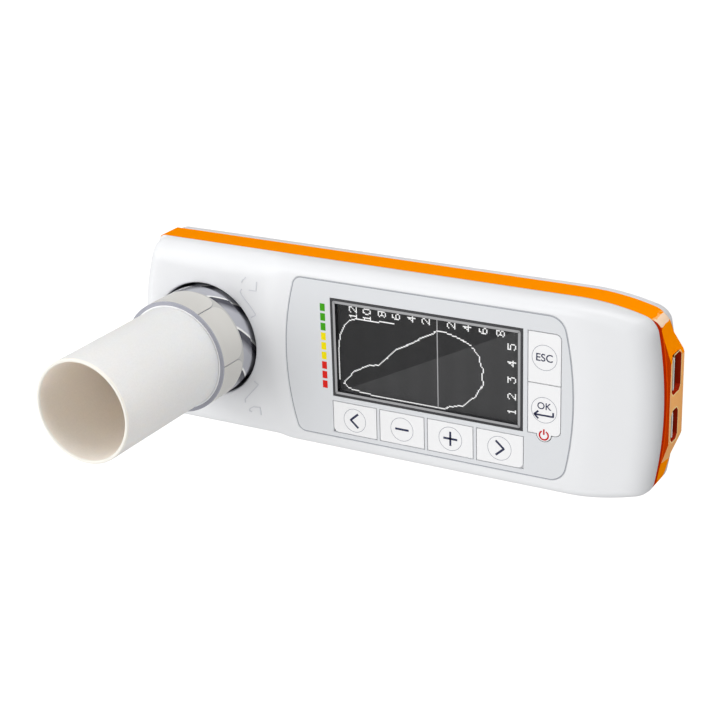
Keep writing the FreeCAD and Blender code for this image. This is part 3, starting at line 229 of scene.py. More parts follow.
@dataclass(frozen=True)
class Metal:
    """A drawn or turned metal with fine directional streaks.

    Attributes:
        name: Material name.
        colour: Base colour in linear light.
        gloss: Roughness of the metal.
    """
    name: str
    colour: Colour
    gloss: float = 0.25

    def make(self) -> bpy.types.Material:
        """Build the material: noise stretched along X makes the streaks."""
        nodes = Nodes(self.name)
        stretch = nodes.add("Mapping")
        stretch.inputs["Scale"].default_value = (0.1, 1.0, 1.0)
        nodes.link(nodes.place(), stretch.inputs["Vector"])
        streaks = nodes.add("TexNoise", Scale=1.0 / (0.25 * MM), Detail=2.0)
        nodes.link(stretch.outputs["Vector"], streaks.inputs["Vector"])
        darker = tuple(part * 0.88 for part in self.colour)
        nodes.link(nodes.tint(streaks.outputs["Fac"], darker, self.colour), nodes.shader.inputs["Base Color"])
        nodes.link(nodes.spread(streaks.outputs["Fac"], self.gloss, self.gloss + 0.12),
                   nodes.shader.inputs["Roughness"])
        nodes.set(Metallic=1.0)
        return nodes.material


@dataclass(frozen=True)
class Ink:
    """A printed ink with a trace of unevenness, or lit display pixels where it glows.

    Attributes:
        name: Material name.
        colour: Ink colour in linear light.
        glow: Light that the ink gives off.
    """
    name: str
    colour: Colour
    glow: float = 0.0

    def make(self) -> bpy.types.Material:
        """Build the material."""
        nodes = Nodes(self.name)
        darker = tuple(part * 0.93 for part in self.colour)
        nodes.link(nodes.tint(nodes.noise(0.6), darker, self.colour), nodes.shader.inputs["Base Color"])
        nodes.set(Roughness=0.5, Specular_IOR_Level=0.12)
        if self.glow:
            nodes.set(Emission_Color=(*self.colour, 1.0), Emission_Strength=self.glow)
        return nodes.material


@dataclass(frozen=True)
class PaintedVaneWall:
    """The turbine's clear wall with the vanes behind it painted on: slanting bands that fade from painted
    shade to a painted highlight at the edge.

    Attributes:
        name: Material name.
        dark: Colour where a band starts, a painted shade.
        middle: Colour of most of a band.
        light: Colour of its edge, a painted highlight.
        centre: Where the axis stands on X, in millimetres.
        bands: How many bands there are in a turn.
        slant: Turn of a band in degrees for each millimetre of height.
        turn: Angle of a bright edge at height nought, in degrees.
        cover: How opaque the wall is.
    """
    name: str
    dark: Colour
    middle: Colour
    light: Colour
    centre: float = -57.25
    bands: int = 8
    slant: float = 3.9
    turn: float = -44.0
    cover: float = 0.88

    def make(self) -> bpy.types.Material:
        """Build the material: the angle about the axis, less the slant, is folded into one coloured band."""
        nodes = Nodes(self.name)
        split = nodes.add("SeparateXYZ")
        nodes.link(nodes.place(), split.inputs[0])
        across = nodes.add("Math", operation="SUBTRACT")
        nodes.link(split.outputs["X"], across.inputs[0])
        across.inputs[1].default_value = self.centre * MM
        angle = nodes.add("Math", operation="ARCTAN2")
        nodes.link(split.outputs["Y"], angle.inputs[0])
        nodes.link(across.outputs[0], angle.inputs[1])
        swept = nodes.add("Math", operation="MULTIPLY_ADD")
        nodes.link(split.outputs["Z"], swept.inputs[0])
        swept.inputs[1].default_value = -math.radians(self.slant) / MM
        nodes.link(angle.outputs[0], swept.inputs[2])
        share = nodes.add("Math", operation="MULTIPLY_ADD")
        nodes.link(swept.outputs[0], share.inputs[0])
        share.inputs[1].default_value = self.bands / math.tau
        share.inputs[2].default_value = -math.radians(self.turn) * self.bands / math.tau + self.bands * 4.0
        folded = nodes.add("Math", operation="FRACT")
        nodes.link(share.outputs[0], folded.inputs[0])
        ramp = nodes.add("ValToRGB")
        stops = ramp.color_ramp.elements
        stops[0].color = (*self.light, 1.0)
        stops[1].position = 0.93
        stops[1].color = (*self.dark, 1.0)
        for place, colour in ((0.05, self.light), (0.09, self.middle), (0.55, self.middle), (0.8, self.dark)):
            stop = stops.new(place)
            stop.color = (*colour, 1.0)
        nodes.link(folded.outputs[0], ramp.inputs["Fac"])
        nodes.link(ramp.outputs["Color"], nodes.shader.inputs["Base Color"])
        nodes.link(nodes.spread(nodes.noise(4.0, 1.0), 0.08, 0.14), nodes.shader.inputs["Roughness"])
        nodes.set(Alpha=self.cover, Specular_IOR_Level=0.6)
        return nodes.material


@dataclass(frozen=True)
class DisplayGlass:
    """The display, dark behind its window: faint columns of unlit pixels, and a lighter lower right half that
    is a painted reflection.

    Attributes:
        name: Material name.
        colour: Colour of the upper left half.
        painted_reflection: Colour of the lower right half, a painted reflection.
        across: Unit vector on the plan that points into the half with the painted reflection.
        edge: How far from the origin the halves meet along that vector, in millimetres.
        pitch: Width of a pixel column in millimetres.
    """
    name: str
    colour: Colour
    painted_reflection: Colour
    across: tuple = (0.4403, -0.8978, 0.0)
    edge: float = 2.083
    pitch: float = 1.1

    def make(self) -> bpy.types.Material:
        """Build the material: a sine wave along X gives the columns, and a dot product picks the half with
        the painted reflection.
        """
        nodes = Nodes(self.name)
        wave = nodes.add("TexWave", bands_direction="X", Scale=1.0 / (self.pitch * MM) / 20.0, Distortion=0.0)
        nodes.link(nodes.place(), wave.inputs["Vector"])
        past = nodes.add("VectorMath", operation="DOT_PRODUCT")
        past.inputs[1].default_value = self.across
        nodes.link(nodes.place(), past.inputs[0])
        side = nodes.add("MapRange", From_Min=(self.edge - 0.06) * MM, From_Max=(self.edge + 0.06) * MM)
        nodes.link(past.outputs["Value"], side.inputs["Value"])
        mix = nodes.add("Mix", data_type="RGBA")
        nodes.link(side.outputs["Result"], mix.inputs["Factor"])
        for socket, colour in (("A", self.colour), ("B", self.painted_reflection)):
            lighter = tuple(part * 1.07 for part in colour)
            target = next(item for item in mix.inputs if item.name == socket and item.type == "RGBA")
            nodes.link(nodes.tint(wave.outputs["Fac"], colour, lighter), target)
        colour_out = next(item for item in mix.outputs if item.type == "RGBA")
        nodes.link(colour_out, nodes.shader.inputs["Base Color"])
        nodes.link(nodes.spread(nodes.noise(30.0, 1.0), 0.3, 0.34), nodes.shader.inputs["Roughness"])
        nodes.set(Specular_IOR_Level=0.2)
        return nodes.material


@dataclass(frozen=True)
class CoatedCard:
    """Coated board, wound into a tube: whiter outside, and in the bore a warmer, slightly lighter colour that
    is painted bounce light, with faint fibres.

    Attributes:
        name: Material name.
        outside: Colour of the outer face.
        inside: Colour of the bore, warmer and slightly lighter as painted bounce light.
        centre_x: Where the tube's axis stands on X, in millimetres.
        middle_radius: Radius half way through the wall, in millimetres.
    """
    name: str
    outside: Colour
    inside: Colour
    centre_x: float
    middle_radius: float

    def make(self) -> bpy.types.Material:
        """Build the material: the distance from the tube's axis picks the inner or the outer colour."""
        nodes = Nodes(self.name)
        shift = nodes.add("Mapping")
        shift.inputs["Location"].default_value = (-self.centre_x * MM, 0.0, 0.0)
        shift.inputs["Scale"].default_value = (1.0, 1.0, 0.0)
        nodes.link(nodes.place(), shift.inputs["Vector"])
        reach = nodes.add("VectorMath", operation="LENGTH")
        nodes.link(shift.outputs["Vector"], reach.inputs[0])
        side = nodes.add("MapRange", From_Min=(self.middle_radius - 0.2) * MM,
                         From_Max=(self.middle_radius + 0.2) * MM)
        nodes.link(reach.outputs["Value"], side.inputs["Value"])
        fibres = nodes.noise(0.5, 4.0)
        mix = nodes.add("Mix", data_type="RGBA")
        nodes.link(side.outputs["Result"], mix.inputs["Factor"])
        for socket, colour in (("A", self.inside), ("B", self.outside)):
            darker = tuple(part * 0.95 for part in colour)
            target = next(item for item in mix.inputs if item.name == socket and item.type == "RGBA")
            nodes.link(nodes.tint(fibres, darker, colour), target)
        colour_out = next(item for item in mix.outputs if item.type == "RGBA")
        nodes.link(colour_out, nodes.shader.inputs["Base Color"])
        nodes.link(nodes.spread(fibres, 0.48, 0.62), nodes.shader.inputs["Roughness"])
        nodes.bump(fibres, 0.012)
        nodes.set(Subsurface_Weight=0.45, Subsurface_Radius=(1.0, 0.8, 0.62), Subsurface_Scale=0.003)
        return nodes.material


class Finish(Enum):
    """Every finish on the device."""
    SHELL = Moulded("white shell", linear(243, 244, 246), gloss=0.4, grain=0.002, cloud=0.01)
    # Painted shade: the marks raised on the head are a greyer white than the shell, standing in for the shade
    # along their edges.
    MARK = Moulded("raised line painted grey shade", linear(222, 223, 228), gloss=0.4, grain=0.001)
    BAND = Moulded("orange band", linear(255, 144, 0), gloss=0.42, grain=0.002, shine=0.0)
    # Painted highlight: a pale peach orange for the band's upper corner at the connector end, in place of the
    # glint there.
    BAND_BUFFED = Moulded("orange corner painted highlight", linear(255, 222, 190), gloss=0.3, grain=0.002, cloud=0.06)
    # Painted highlight: a lighter orange for the band's end face and for the rim of the corner's highlight.
    BAND_END = Moulded("orange end face painted lighter", linear(255, 184, 106), gloss=0.4, grain=0.002, shine=0.2)
    # Painted shade: a deeper orange for the wall and ledge in the recess under the white lip.
    BAND_DEEP = Moulded("orange facet", linear(226, 84, 6), gloss=0.42, grain=0.002, shine=0.0)
    # Painted shade: the darkest orange, for the slanted facet tucked under the white lip.
    BAND_SHADE = Moulded("orange facet painted darkest shade", linear(188, 44, 2), gloss=0.42, grain=0.002, shine=0.0)
    # Painted shade: a dark red-brown for the band's walls inside the ports, where little light reaches.
    PORT_WALL = Moulded("port wall painted shade", linear(196, 44, 8), gloss=0.5, grain=0.002, shine=0.1)
    # Painted highlight: a pale orange for thin lines round the ports' mouths and along the end face's upper
    # edge, where the edges catch light.
    PORT_RIM = Moulded("port rim painted highlight", linear(255, 226, 160), gloss=0.4, grain=0.001, shine=0.3)
    # Painted glint: the socket's steel edge takes a near-white plastic finish so that it reads bright deep in
    # the port.
    PORT_METAL = Moulded("socket edge painted glint", linear(236, 236, 230), gloss=0.25, grain=0.001, coat=0.4)
    # Painted shadow: near-black for the plates put in the ports' depths, where there is only shade.
    PORT_DARK = Moulded("port painted shadow", linear(12, 12, 13), gloss=0.6, grain=0.001)
    OVERLAY = Moulded("grey overlay", linear(228, 230, 233), gloss=0.5, grain=0.001, grain_size=0.2,
                      cloud=0.01)
    KEY = Moulded("white key", linear(250, 250, 251), gloss=0.45, grain=0.001, grain_size=0.2, cloud=0.01)
    BEZEL = Moulded("dark bezel", linear(52, 52, 55), gloss=0.3, grain=0.0005)
    BEZEL_LINE = Moulded("bezel line", linear(168, 168, 170), gloss=0.4, grain=0.0005)
    WINDOW = Moulded("display window", linear(30, 30, 32), gloss=0.06, grain=0.0, shine=0.5, cover=0.06)
    # Painted reflection: the display's lower right half is a lighter grey.
    DISPLAY = DisplayGlass("dark display with painted reflection", linear(50, 50, 51), linear(73, 73, 74))
    PIXEL = Ink("lit pixels", linear(244, 244, 244), glow=0.55)
    CURSOR = Ink("display cursor", linear(176, 176, 178), glow=0.2)
    BACKLIGHT = Moulded("backlight frame", linear(235, 234, 228), gloss=0.5)
    BOARD = Moulded("board lacquer", linear(28, 92, 48), gloss=0.3, grain=0.01, cloud=0.2)
    CHIP = Moulded("chip package", linear(34, 34, 36), gloss=0.55, grain=0.006, grain_size=0.15)
    STEEL = Metal("bright steel", (0.62, 0.62, 0.64))
    BRASS = Metal("turned brass", (0.7, 0.5, 0.2), 0.2)
    BATTERY = Moulded("battery film", linear(60, 84, 120), gloss=0.28, grain=0.01, grain_size=2.0)
    SEAT = Moulded("grey seat", linear(150, 150, 158), gloss=0.4)
    LENS = Moulded("dark lens", linear(40, 24, 34), gloss=0.1)
    CLEAR = Moulded("clear wall", linear(214, 216, 224), gloss=0.07, grain=0.001, shine=0.6, cover=0.26)
    # Painted shade and highlights: the vanes behind the clear wall are painted on it as dark bands with
    # bright edges.
    WALL = PaintedVaneWall("clear wall with painted vane shade", linear(74, 74, 84), linear(184, 185, 193), linear(250, 250, 248))
    SOCKET = Moulded("clear socket", linear(226, 225, 222), gloss=0.12, grain=0.001, cover=0.7)
    PAD = Moulded("grip pad", linear(225, 223, 218), gloss=0.3, grain=0.002, cover=0.82)
    # Painted shade: a grey for the lines along the clear grip pads' edges.
    PAD_LINE = Moulded("pad edge painted shade", linear(166, 167, 178), gloss=0.3, grain=0.001, cover=0.8)
    RIM = Moulded("socket rim", linear(168, 169, 180), gloss=0.2, grain=0.001)
    VANE = Moulded("grey vane", linear(196, 198, 206), gloss=0.16, grain=0.002, coat=0.3)
    ROTOR = Moulded("rotor plate", linear(120, 121, 126), gloss=0.25)
    # Painted light: the bore's warmer, lighter colour stands in for warm light bouncing inside the tube.
    CARD = CoatedCard("coated card", linear(243, 242, 240), linear(254, 244, 234), -57.25, 14.35)
    CARD_EDGE = Moulded("cut card edge", linear(252, 249, 241), gloss=0.6, grain=0.01, grain_size=0.3)
    LINE = Ink("grey line", linear(164, 167, 175))
    NAVY = Ink("navy ink", linear(52, 56, 84))
    RED_INK = Ink("red ink", linear(206, 12, 18))
    GREEN = Ink("green mark", linear(67, 168, 18))
    YELLOW = Ink("yellow mark", linear(255, 236, 0))
    RED = Ink("red mark", linear(232, 36, 28))

    def material(self) -> bpy.types.Material:
        """The finish's material, made the first time it is asked for."""
        return bpy.data.materials.get(self.value.name) or self.value.make()


def dress(piece: bpy.types.Object, finish: Finish) -> None:
    """Give a piece one finish in place of what it has."""
    piece.data.materials.clear()
    piece.data.materials.append(finish.material())


# Meshes

def piece_of(name: str, points: np.ndarray, faces: list, body: str, slot: str, finish: Finish,
             smooth: bool = True) -> bpy.types.Object:
    """Make a mesh piece that rides on a body.

    Args:
        name: The piece's name.
        points: Vertices in millimetres, one row each.
        faces: Vertex indices of each face.
        body: The CAD body it rides on.
        slot: The record's material slot; not used.
        finish: Its finish.
        smooth: Whether its faces are shaded smooth.

    Returns:
        The new object.
    """
    mesh = bpy.data.meshes.new(name)
    mesh.from_pydata((np.asarray(points) * MM).tolist(), [], [list(map(int, face)) for face in faces])
    mesh.validate()
    mesh.polygons.foreach_set("use_smooth", [smooth] * len(mesh.polygons))
    piece = bpy.data.objects.new(name, mesh)
    bpy.context.scene.collection.objects.link(piece)
    dress(piece, finish)
    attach(piece, body)
    LOG.info("%s rides on %s", name, body)
    return piece


def close(piece: bpy.types.Object, sharp: float = 32.0) -> None:
    """Merge doubled vertices, turn the faces outwards and keep crisp edges crisp.

    Args:
        piece: The piece, whose highest face looks up.
        sharp: Angle in degrees past which an edge is crisp.
    """
    mesh = piece.data
    work = bmesh.new()
    work.from_mesh(mesh)
    bmesh.ops.remove_doubles(work, verts=work.verts, dist=0.002 * MM)
    bmesh.ops.recalc_face_normals(work, faces=work.faces)
    top = max(work.faces, key=lambda face: face.calc_center_median().z)
    if top.normal.z < 0.0:
        bmesh.ops.reverse_faces(work, faces=work.faces)
    work.to_mesh(mesh)
    work.free()
    mesh.polygons.foreach_set("use_smooth", [True] * len(mesh.polygons))
    mesh.set_sharp_from_angle(angle=math.radians(sharp))


def merged(node: str, finish: Finish, sharp: float = 28.0) -> bpy.types.Object:
    """Stand a merged, smoothly shaded copy in for a CAD node.

    Args:
        node: The node's name.
        finish: The copy's finish.
        sharp: Angle in degrees past which an edge is crisp.

    Returns:
        The copy.
    """
    source = frame["nodes"][node].data
    mesh = source.copy()
    mesh.name = f"{node}_smooth"
    piece = bpy.data.objects.new(f"{node}_smooth", mesh)
    bpy.context.scene.collection.objects.link(piece)
    work = bmesh.new()
    work.from_mesh(mesh)
    bmesh.ops.remove_doubles(work, verts=work.verts, dist=0.001 * MM)
    work.to_mesh(mesh)
    work.free()
    imported = mesh.attributes.get("custom_normal")
    if imported:
        mesh.attributes.remove(imported)
    mesh.polygons.foreach_set("use_smooth", [True] * len(mesh.polygons))
    mesh.set_sharp_from_angle(angle=math.radians(sharp))
    dress(piece, finish)
    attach(piece, BODY[node])
    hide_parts(node)
    LOG.info("%s stands for %s", piece.name, node)
    return piece


def paint(piece: bpy.types.Object, index: int, rule: Callable) -> None:
    """Give the faces that a rule picks another of the piece's materials.

    Args:
        piece: The piece.
        index: The material's place in its list.
        rule: Takes all the faces' centres in millimetres and their normals, and returns which are meant.
    """
    polygons = piece.data.polygons
    centres, normals = np.empty(len(polygons) * 3), np.empty(len(polygons) * 3)
    places = np.empty(len(polygons), dtype=np.int32)
    polygons.foreach_get("center", centres)
    polygons.foreach_get("normal", normals)
    polygons.foreach_get("material_index", places)
    picked = rule(centres.reshape(-1, 3) / MM, normals.reshape(-1, 3))
    polygons.foreach_set("material_index", np.where(picked, index, places).astype(np.int32))


def grid_faces(rows: int, columns: int, wrap_rows: bool, wrap_columns: bool) -> np.ndarray:
    """Quads of a grid of vertices stored row by row.

    Args:
        rows: Rows of vertices.
        columns: Vertices in a row.
        wrap_rows: Whether the last row joins the first.
        wrap_columns: Whether the last vertex of a row joins its first.

    Returns:
        One row of four indices per quad.
    """
    row = np.arange(rows if wrap_rows else rows - 1)[:, None]
    column = np.arange(columns if wrap_columns else columns - 1)[None, :]
    after_row = (row + 1) % rows
    after_column = (column + 1) % columns
    corners = [row * columns + column, row * columns + after_column,
               after_row * columns + after_column, after_row * columns + column]
    return np.stack(np.broadcast_arrays(*corners), axis=-1).reshape(-1, 4)


def turned(profile: np.ndarray, centre: float, segments: int = 192) -> tuple[np.ndarray, np.ndarray]:
    """Carry a closed profile of radius and height once about an upright axis on the X axis.

    Args:
        profile: Points of radius and height, anticlockwise.
        centre: Where the axis stands on X.
        segments: Steps of the turn.

    Returns:
        Vertices and quads of the closed ring.
    """
    angle = np.linspace(0.0, 2.0 * math.pi, segments, endpoint=False)[:, None]
    radius = profile[:, 0][None, :]
    height = np.broadcast_to(profile[:, 1][None, :], (segments, len(profile)))
    points = np.stack([centre + radius * np.cos(angle), radius * np.sin(angle), height], axis=-1)
    return points.reshape(-1, 3), grid_faces(segments, len(profile), True, True)[:, ::-1]


def strip(path: np.ndarray, width: float, level: float, rise: float, closed: bool) -> tuple[np.ndarray, list]:
    """Lay a flat strip of rectangular section along a path in a level plane.

    Args:
        path: Points of the middle line.
        width: Width of the strip.
        level: Height of its underside.
        rise: Its thickness.
        closed: Whether the path joins its own start.

    Returns:
        Vertices and faces. Each point gives four corners: the path's side offset times half the width,
        at the underside and at the top.
    """
    if closed:
        along = np.roll(path, -1, 0) - np.roll(path, 1, 0)
    else:
        along = np.gradient(path, axis=0)
    along = along / np.linalg.norm(along, axis=1, keepdims=True)
    side = np.stack([-along[:, 1], along[:, 0]], 1) * width / 2
    left, right = path + side, path - side
    base, top = np.full((len(path), 1), level), np.full((len(path), 1), level + rise)
    ring = np.stack([np.hstack([left, base]), np.hstack([right, base]),
                     np.hstack([right, top]), np.hstack([left, top])], axis=1)
    faces = grid_faces(len(path), 4, closed, True)[:, ::-1].tolist()
    if not closed:
        last = 4 * (len(path) - 1)
        faces += [[0, 1, 2, 3], [last + 3, last + 2, last + 1, last]]
    return ring.reshape(-1, 3), faces


def plate(outline: np.ndarray, level: float, rise: float) -> tuple[np.ndarray, list]:
    """A flat plate over a closed anticlockwise outline.

    Args:
        outline: Points of the outline.
        level: Height of the underside.
        rise: Thickness.

    Returns:
        Vertices and faces: the two caps and one quad for each side.
    """
    count = len(outline)
    bottom = np.hstack([outline, np.full((count, 1), level)])
    top = np.hstack([outline, np.full((count, 1), level + rise)])
    step = np.arange(count)
    after = (step + 1) % count
    sides = np.stack([step, after, after + count, step + count], 1).tolist()
    return np.vstack([bottom, top]), sides + [step[::-1].tolist(), (step + count).tolist()]


def joined(meshes: list[tuple[np.ndarray, list]]) -> tuple[np.ndarray, list]:
    """Put several meshes into one, moving each one's indices past those before it."""
    points, faces, start = [], [], 0
    for vertices, polygons in meshes:
        points.append(vertices)
        faces += [[index + start for index in polygon] for polygon in polygons]
        start += len(vertices)
    return np.vstack(points), faces


def ring_path(centre: tuple[float, float], radius: float, start: float = 0.0, end: float = 360.0,
              count: int = 64) -> np.ndarray:
    """Points of a circle or of an arc between two angles in degrees."""
    whole = end - start >= 360.0
    angle = np.radians(np.linspace(start, end, count, endpoint=not whole))
    return np.stack([centre[0] + radius * np.cos(angle), centre[1] + radius * np.sin(angle)], 1)


def rounded_box(left: float, bottom: float, right: float, top: float, radii: tuple,
                count: int = 10) -> np.ndarray:
    """A rectangle with its own radius at each corner.

    Args:
        left: Left side.
        bottom: Bottom side.
        right: Right side.
        top: Top side.
        radii: Radius at the bottom left, bottom right, top right and top left.
        count: Points on each corner's arc.

    Returns:
        Points of the outline, anticlockwise.
    """
    corners = [(left, bottom, 1, 1, 180), (right, bottom, -1, 1, 270), (right, top, -1, -1, 0),
               (left, top, 1, -1, 90)]
    parts = []
    for (x, y, inward_x, inward_y, start), radius in zip(corners, radii):
        centre = (x + inward_x * radius, y + inward_y * radius)
        parts.append(ring_path(centre, radius, start, start + 90, count) if radius else np.array([[x, y]]))
    return np.vstack(parts)


def polyline(points: list[tuple[float, float]], spacing: float) -> np.ndarray:
    """Points at an even spacing along straight runs, worked out from the running length."""
    corners = np.array(points, float)
    lengths = np.linalg.norm(np.diff(corners, axis=0), axis=1)
    run = np.concatenate([[0.0], np.cumsum(lengths)])
    places = np.linspace(0.0, run[-1], max(2, int(run[-1] / spacing) + 1))
    return np.stack([np.interp(places, run, corners[:, axis]) for axis in (0, 1)], 1)


def lettering(text: str, size: float, middle: tuple[float, float], level: float, rise: float,
              weight: float = 0.0) -> tuple[np.ndarray, list]:
    """Letters as a thin mesh, centred on a place.

    Args:
        text: What to write.
        size: Height of the type.
        middle: Centre of the word.
        level: Height of the underside.
        rise: Thickness.
        weight: How far the strokes are fattened.

    Returns:
        Vertices in millimetres and faces.
    """
    curve = bpy.data.curves.new("legend", "FONT")
    curve.body = text
    curve.size = size
    curve.align_x = curve.align_y = "CENTER"
    curve.extrude = rise / 2
    curve.offset = weight
    holder = bpy.data.objects.new("legend", curve)
    bpy.context.scene.collection.objects.link(holder)
    bpy.context.view_layer.update()
    mesh = bpy.data.meshes.new_from_object(holder.evaluated_get(bpy.context.evaluated_depsgraph_get()))
    points = np.empty(len(mesh.vertices) * 3)
    mesh.vertices.foreach_get("co", points)
    points = points.reshape(-1, 3)
    faces = [list(polygon.vertices) for polygon in mesh.polygons]
    bpy.data.objects.remove(holder)
    bpy.data.curves.remove(curve)
    bpy.data.meshes.remove(mesh)
    low_corner, high_corner = points.min(0), points.max(0)
    shift = np.array([*middle, level + rise / 2]) - np.array([*((low_corner + high_corner) / 2)[:2], 0.0])
    return points + shift, faces


# The studio

@dataclass
class Studio:
    """Camera, soft lights and a pale floor.

    Attributes:
        place: Where the camera stands, in millimetres.
        forward: Unit vector that it looks along.
        upward: Unit vector up the picture.
        lens: Focal length for a 36 mm sensor.
    """
    place: tuple = (221.60, 184.30, 424.80)
    forward: tuple = (-0.46001591, -0.36817494, -0.80798056)
    upward: tuple = (-0.15476004, 0.92929724, -0.33534455)
    lens: float = 90.05

    def camera(self) -> None:
        """Stand the camera where the photograph was taken from."""
        back = -Vector(self.forward)
        up = Vector(self.upward)
        right = up.cross(back)
        turn = Matrix((right, up, back)).transposed().to_4x4()
        data = bpy.data.cameras.new("camera")
        data.lens = self.lens
        data.sensor_width = 36.0
        data.clip_start, data.clip_end = 0.01, 20.0
        camera = bpy.data.objects.new("camera", data)
        camera.matrix_world = Matrix.Translation(Vector(self.place) * MM) @ turn
        bpy.context.scene.collection.objects.link(camera)
        bpy.context.scene.camera = camera

    def softbox(self, name: str, place: tuple, size: float, power: float) -> None:
        """Hang a square light that faces the device.

        Args:
            name: The light's name.
            place: Where it hangs, in millimetres.
            size: Length of its side in millimetres.
            power: Its power in watts.
        """
        data = bpy.data.lights.new(name, "AREA")
        data.size = size * MM
        data.energy = power
        light = bpy.data.objects.new(name, data)
        light.location = Vector(place) * MM
        light.rotation_euler = (-light.location).to_track_quat("-Z", "Y").to_euler()
        bpy.context.scene.collection.objects.link(light)

    def only(self, name: str, pieces: list[str]) -> None:
        """Let a light fall on a few pieces only, as a narrow snoot on it would."""
        lit = bpy.data.collections.new(f"lit by {name}")
        for piece in pieces:
            lit.objects.link(bpy.data.objects[piece])
        bpy.data.objects[name].light_linking.receiver_collection = lit

    def floor(self) -> None:
        """Spread the floor under the device."""
        reach = 4000.0
        corners = np.array([[-reach, -reach, -0.3], [reach, -reach, -0.3], [reach, reach, -0.3],
                            [-reach, reach, -0.3]])
        mesh = bpy.data.meshes.new("floor")
        mesh.from_pydata((corners * MM).tolist(), [], [[0, 1, 2, 3]])
        floor = bpy.data.objects.new("floor", mesh)
        bpy.context.scene.collection.objects.link(floor)
        nodes = Nodes("floor paper")
        nodes.link(nodes.tint(nodes.noise(120.0), (0.38, 0.38, 0.38), (0.40, 0.40, 0.40)),
                   nodes.shader.inputs["Base Color"])
        seen = nodes.add("LightPath")
        nodes.link(nodes.spread(seen.outputs["Is Camera Ray"], 0.0, 0.9),
                   nodes.shader.inputs["Emission Strength"])
        nodes.set(Roughness=0.9, Emission_Color=(1.0, 1.0, 1.0, 1.0))
        floor.data.materials.append(nodes.material)

    def build(self) -> None:
        """Set up the camera, the light and the floor."""
        scene = bpy.context.scene
        scene.view_settings.view_transform = "Standard"
        world = bpy.data.worlds.new("studio")
        world.use_nodes = True
        world.node_tree.nodes["Background"].inputs["Color"].default_value = (1.0, 1.0, 1.0, 1.0)
        world.node_tree.nodes["Background"].inputs["Strength"].default_value = 0.34
        scene.world = world
        self.camera()
        self.softbox("overhead", (-600.0, 220.0, 820.0), 1100.0, 8.3)
        self.softbox("top side", (60.0, 900.0, 90.0), 500.0, 3.8)
        self.softbox("near side", (0.0, -760.0, 420.0), 600.0, 2.3)
        self.softbox("end fill", (640.0, 330.0, 60.0), 260.0, 0.7)
        self.softbox("end side", (640.0, 330.0, 30.0), 260.0, 2.2)
        self.floor()


# The case

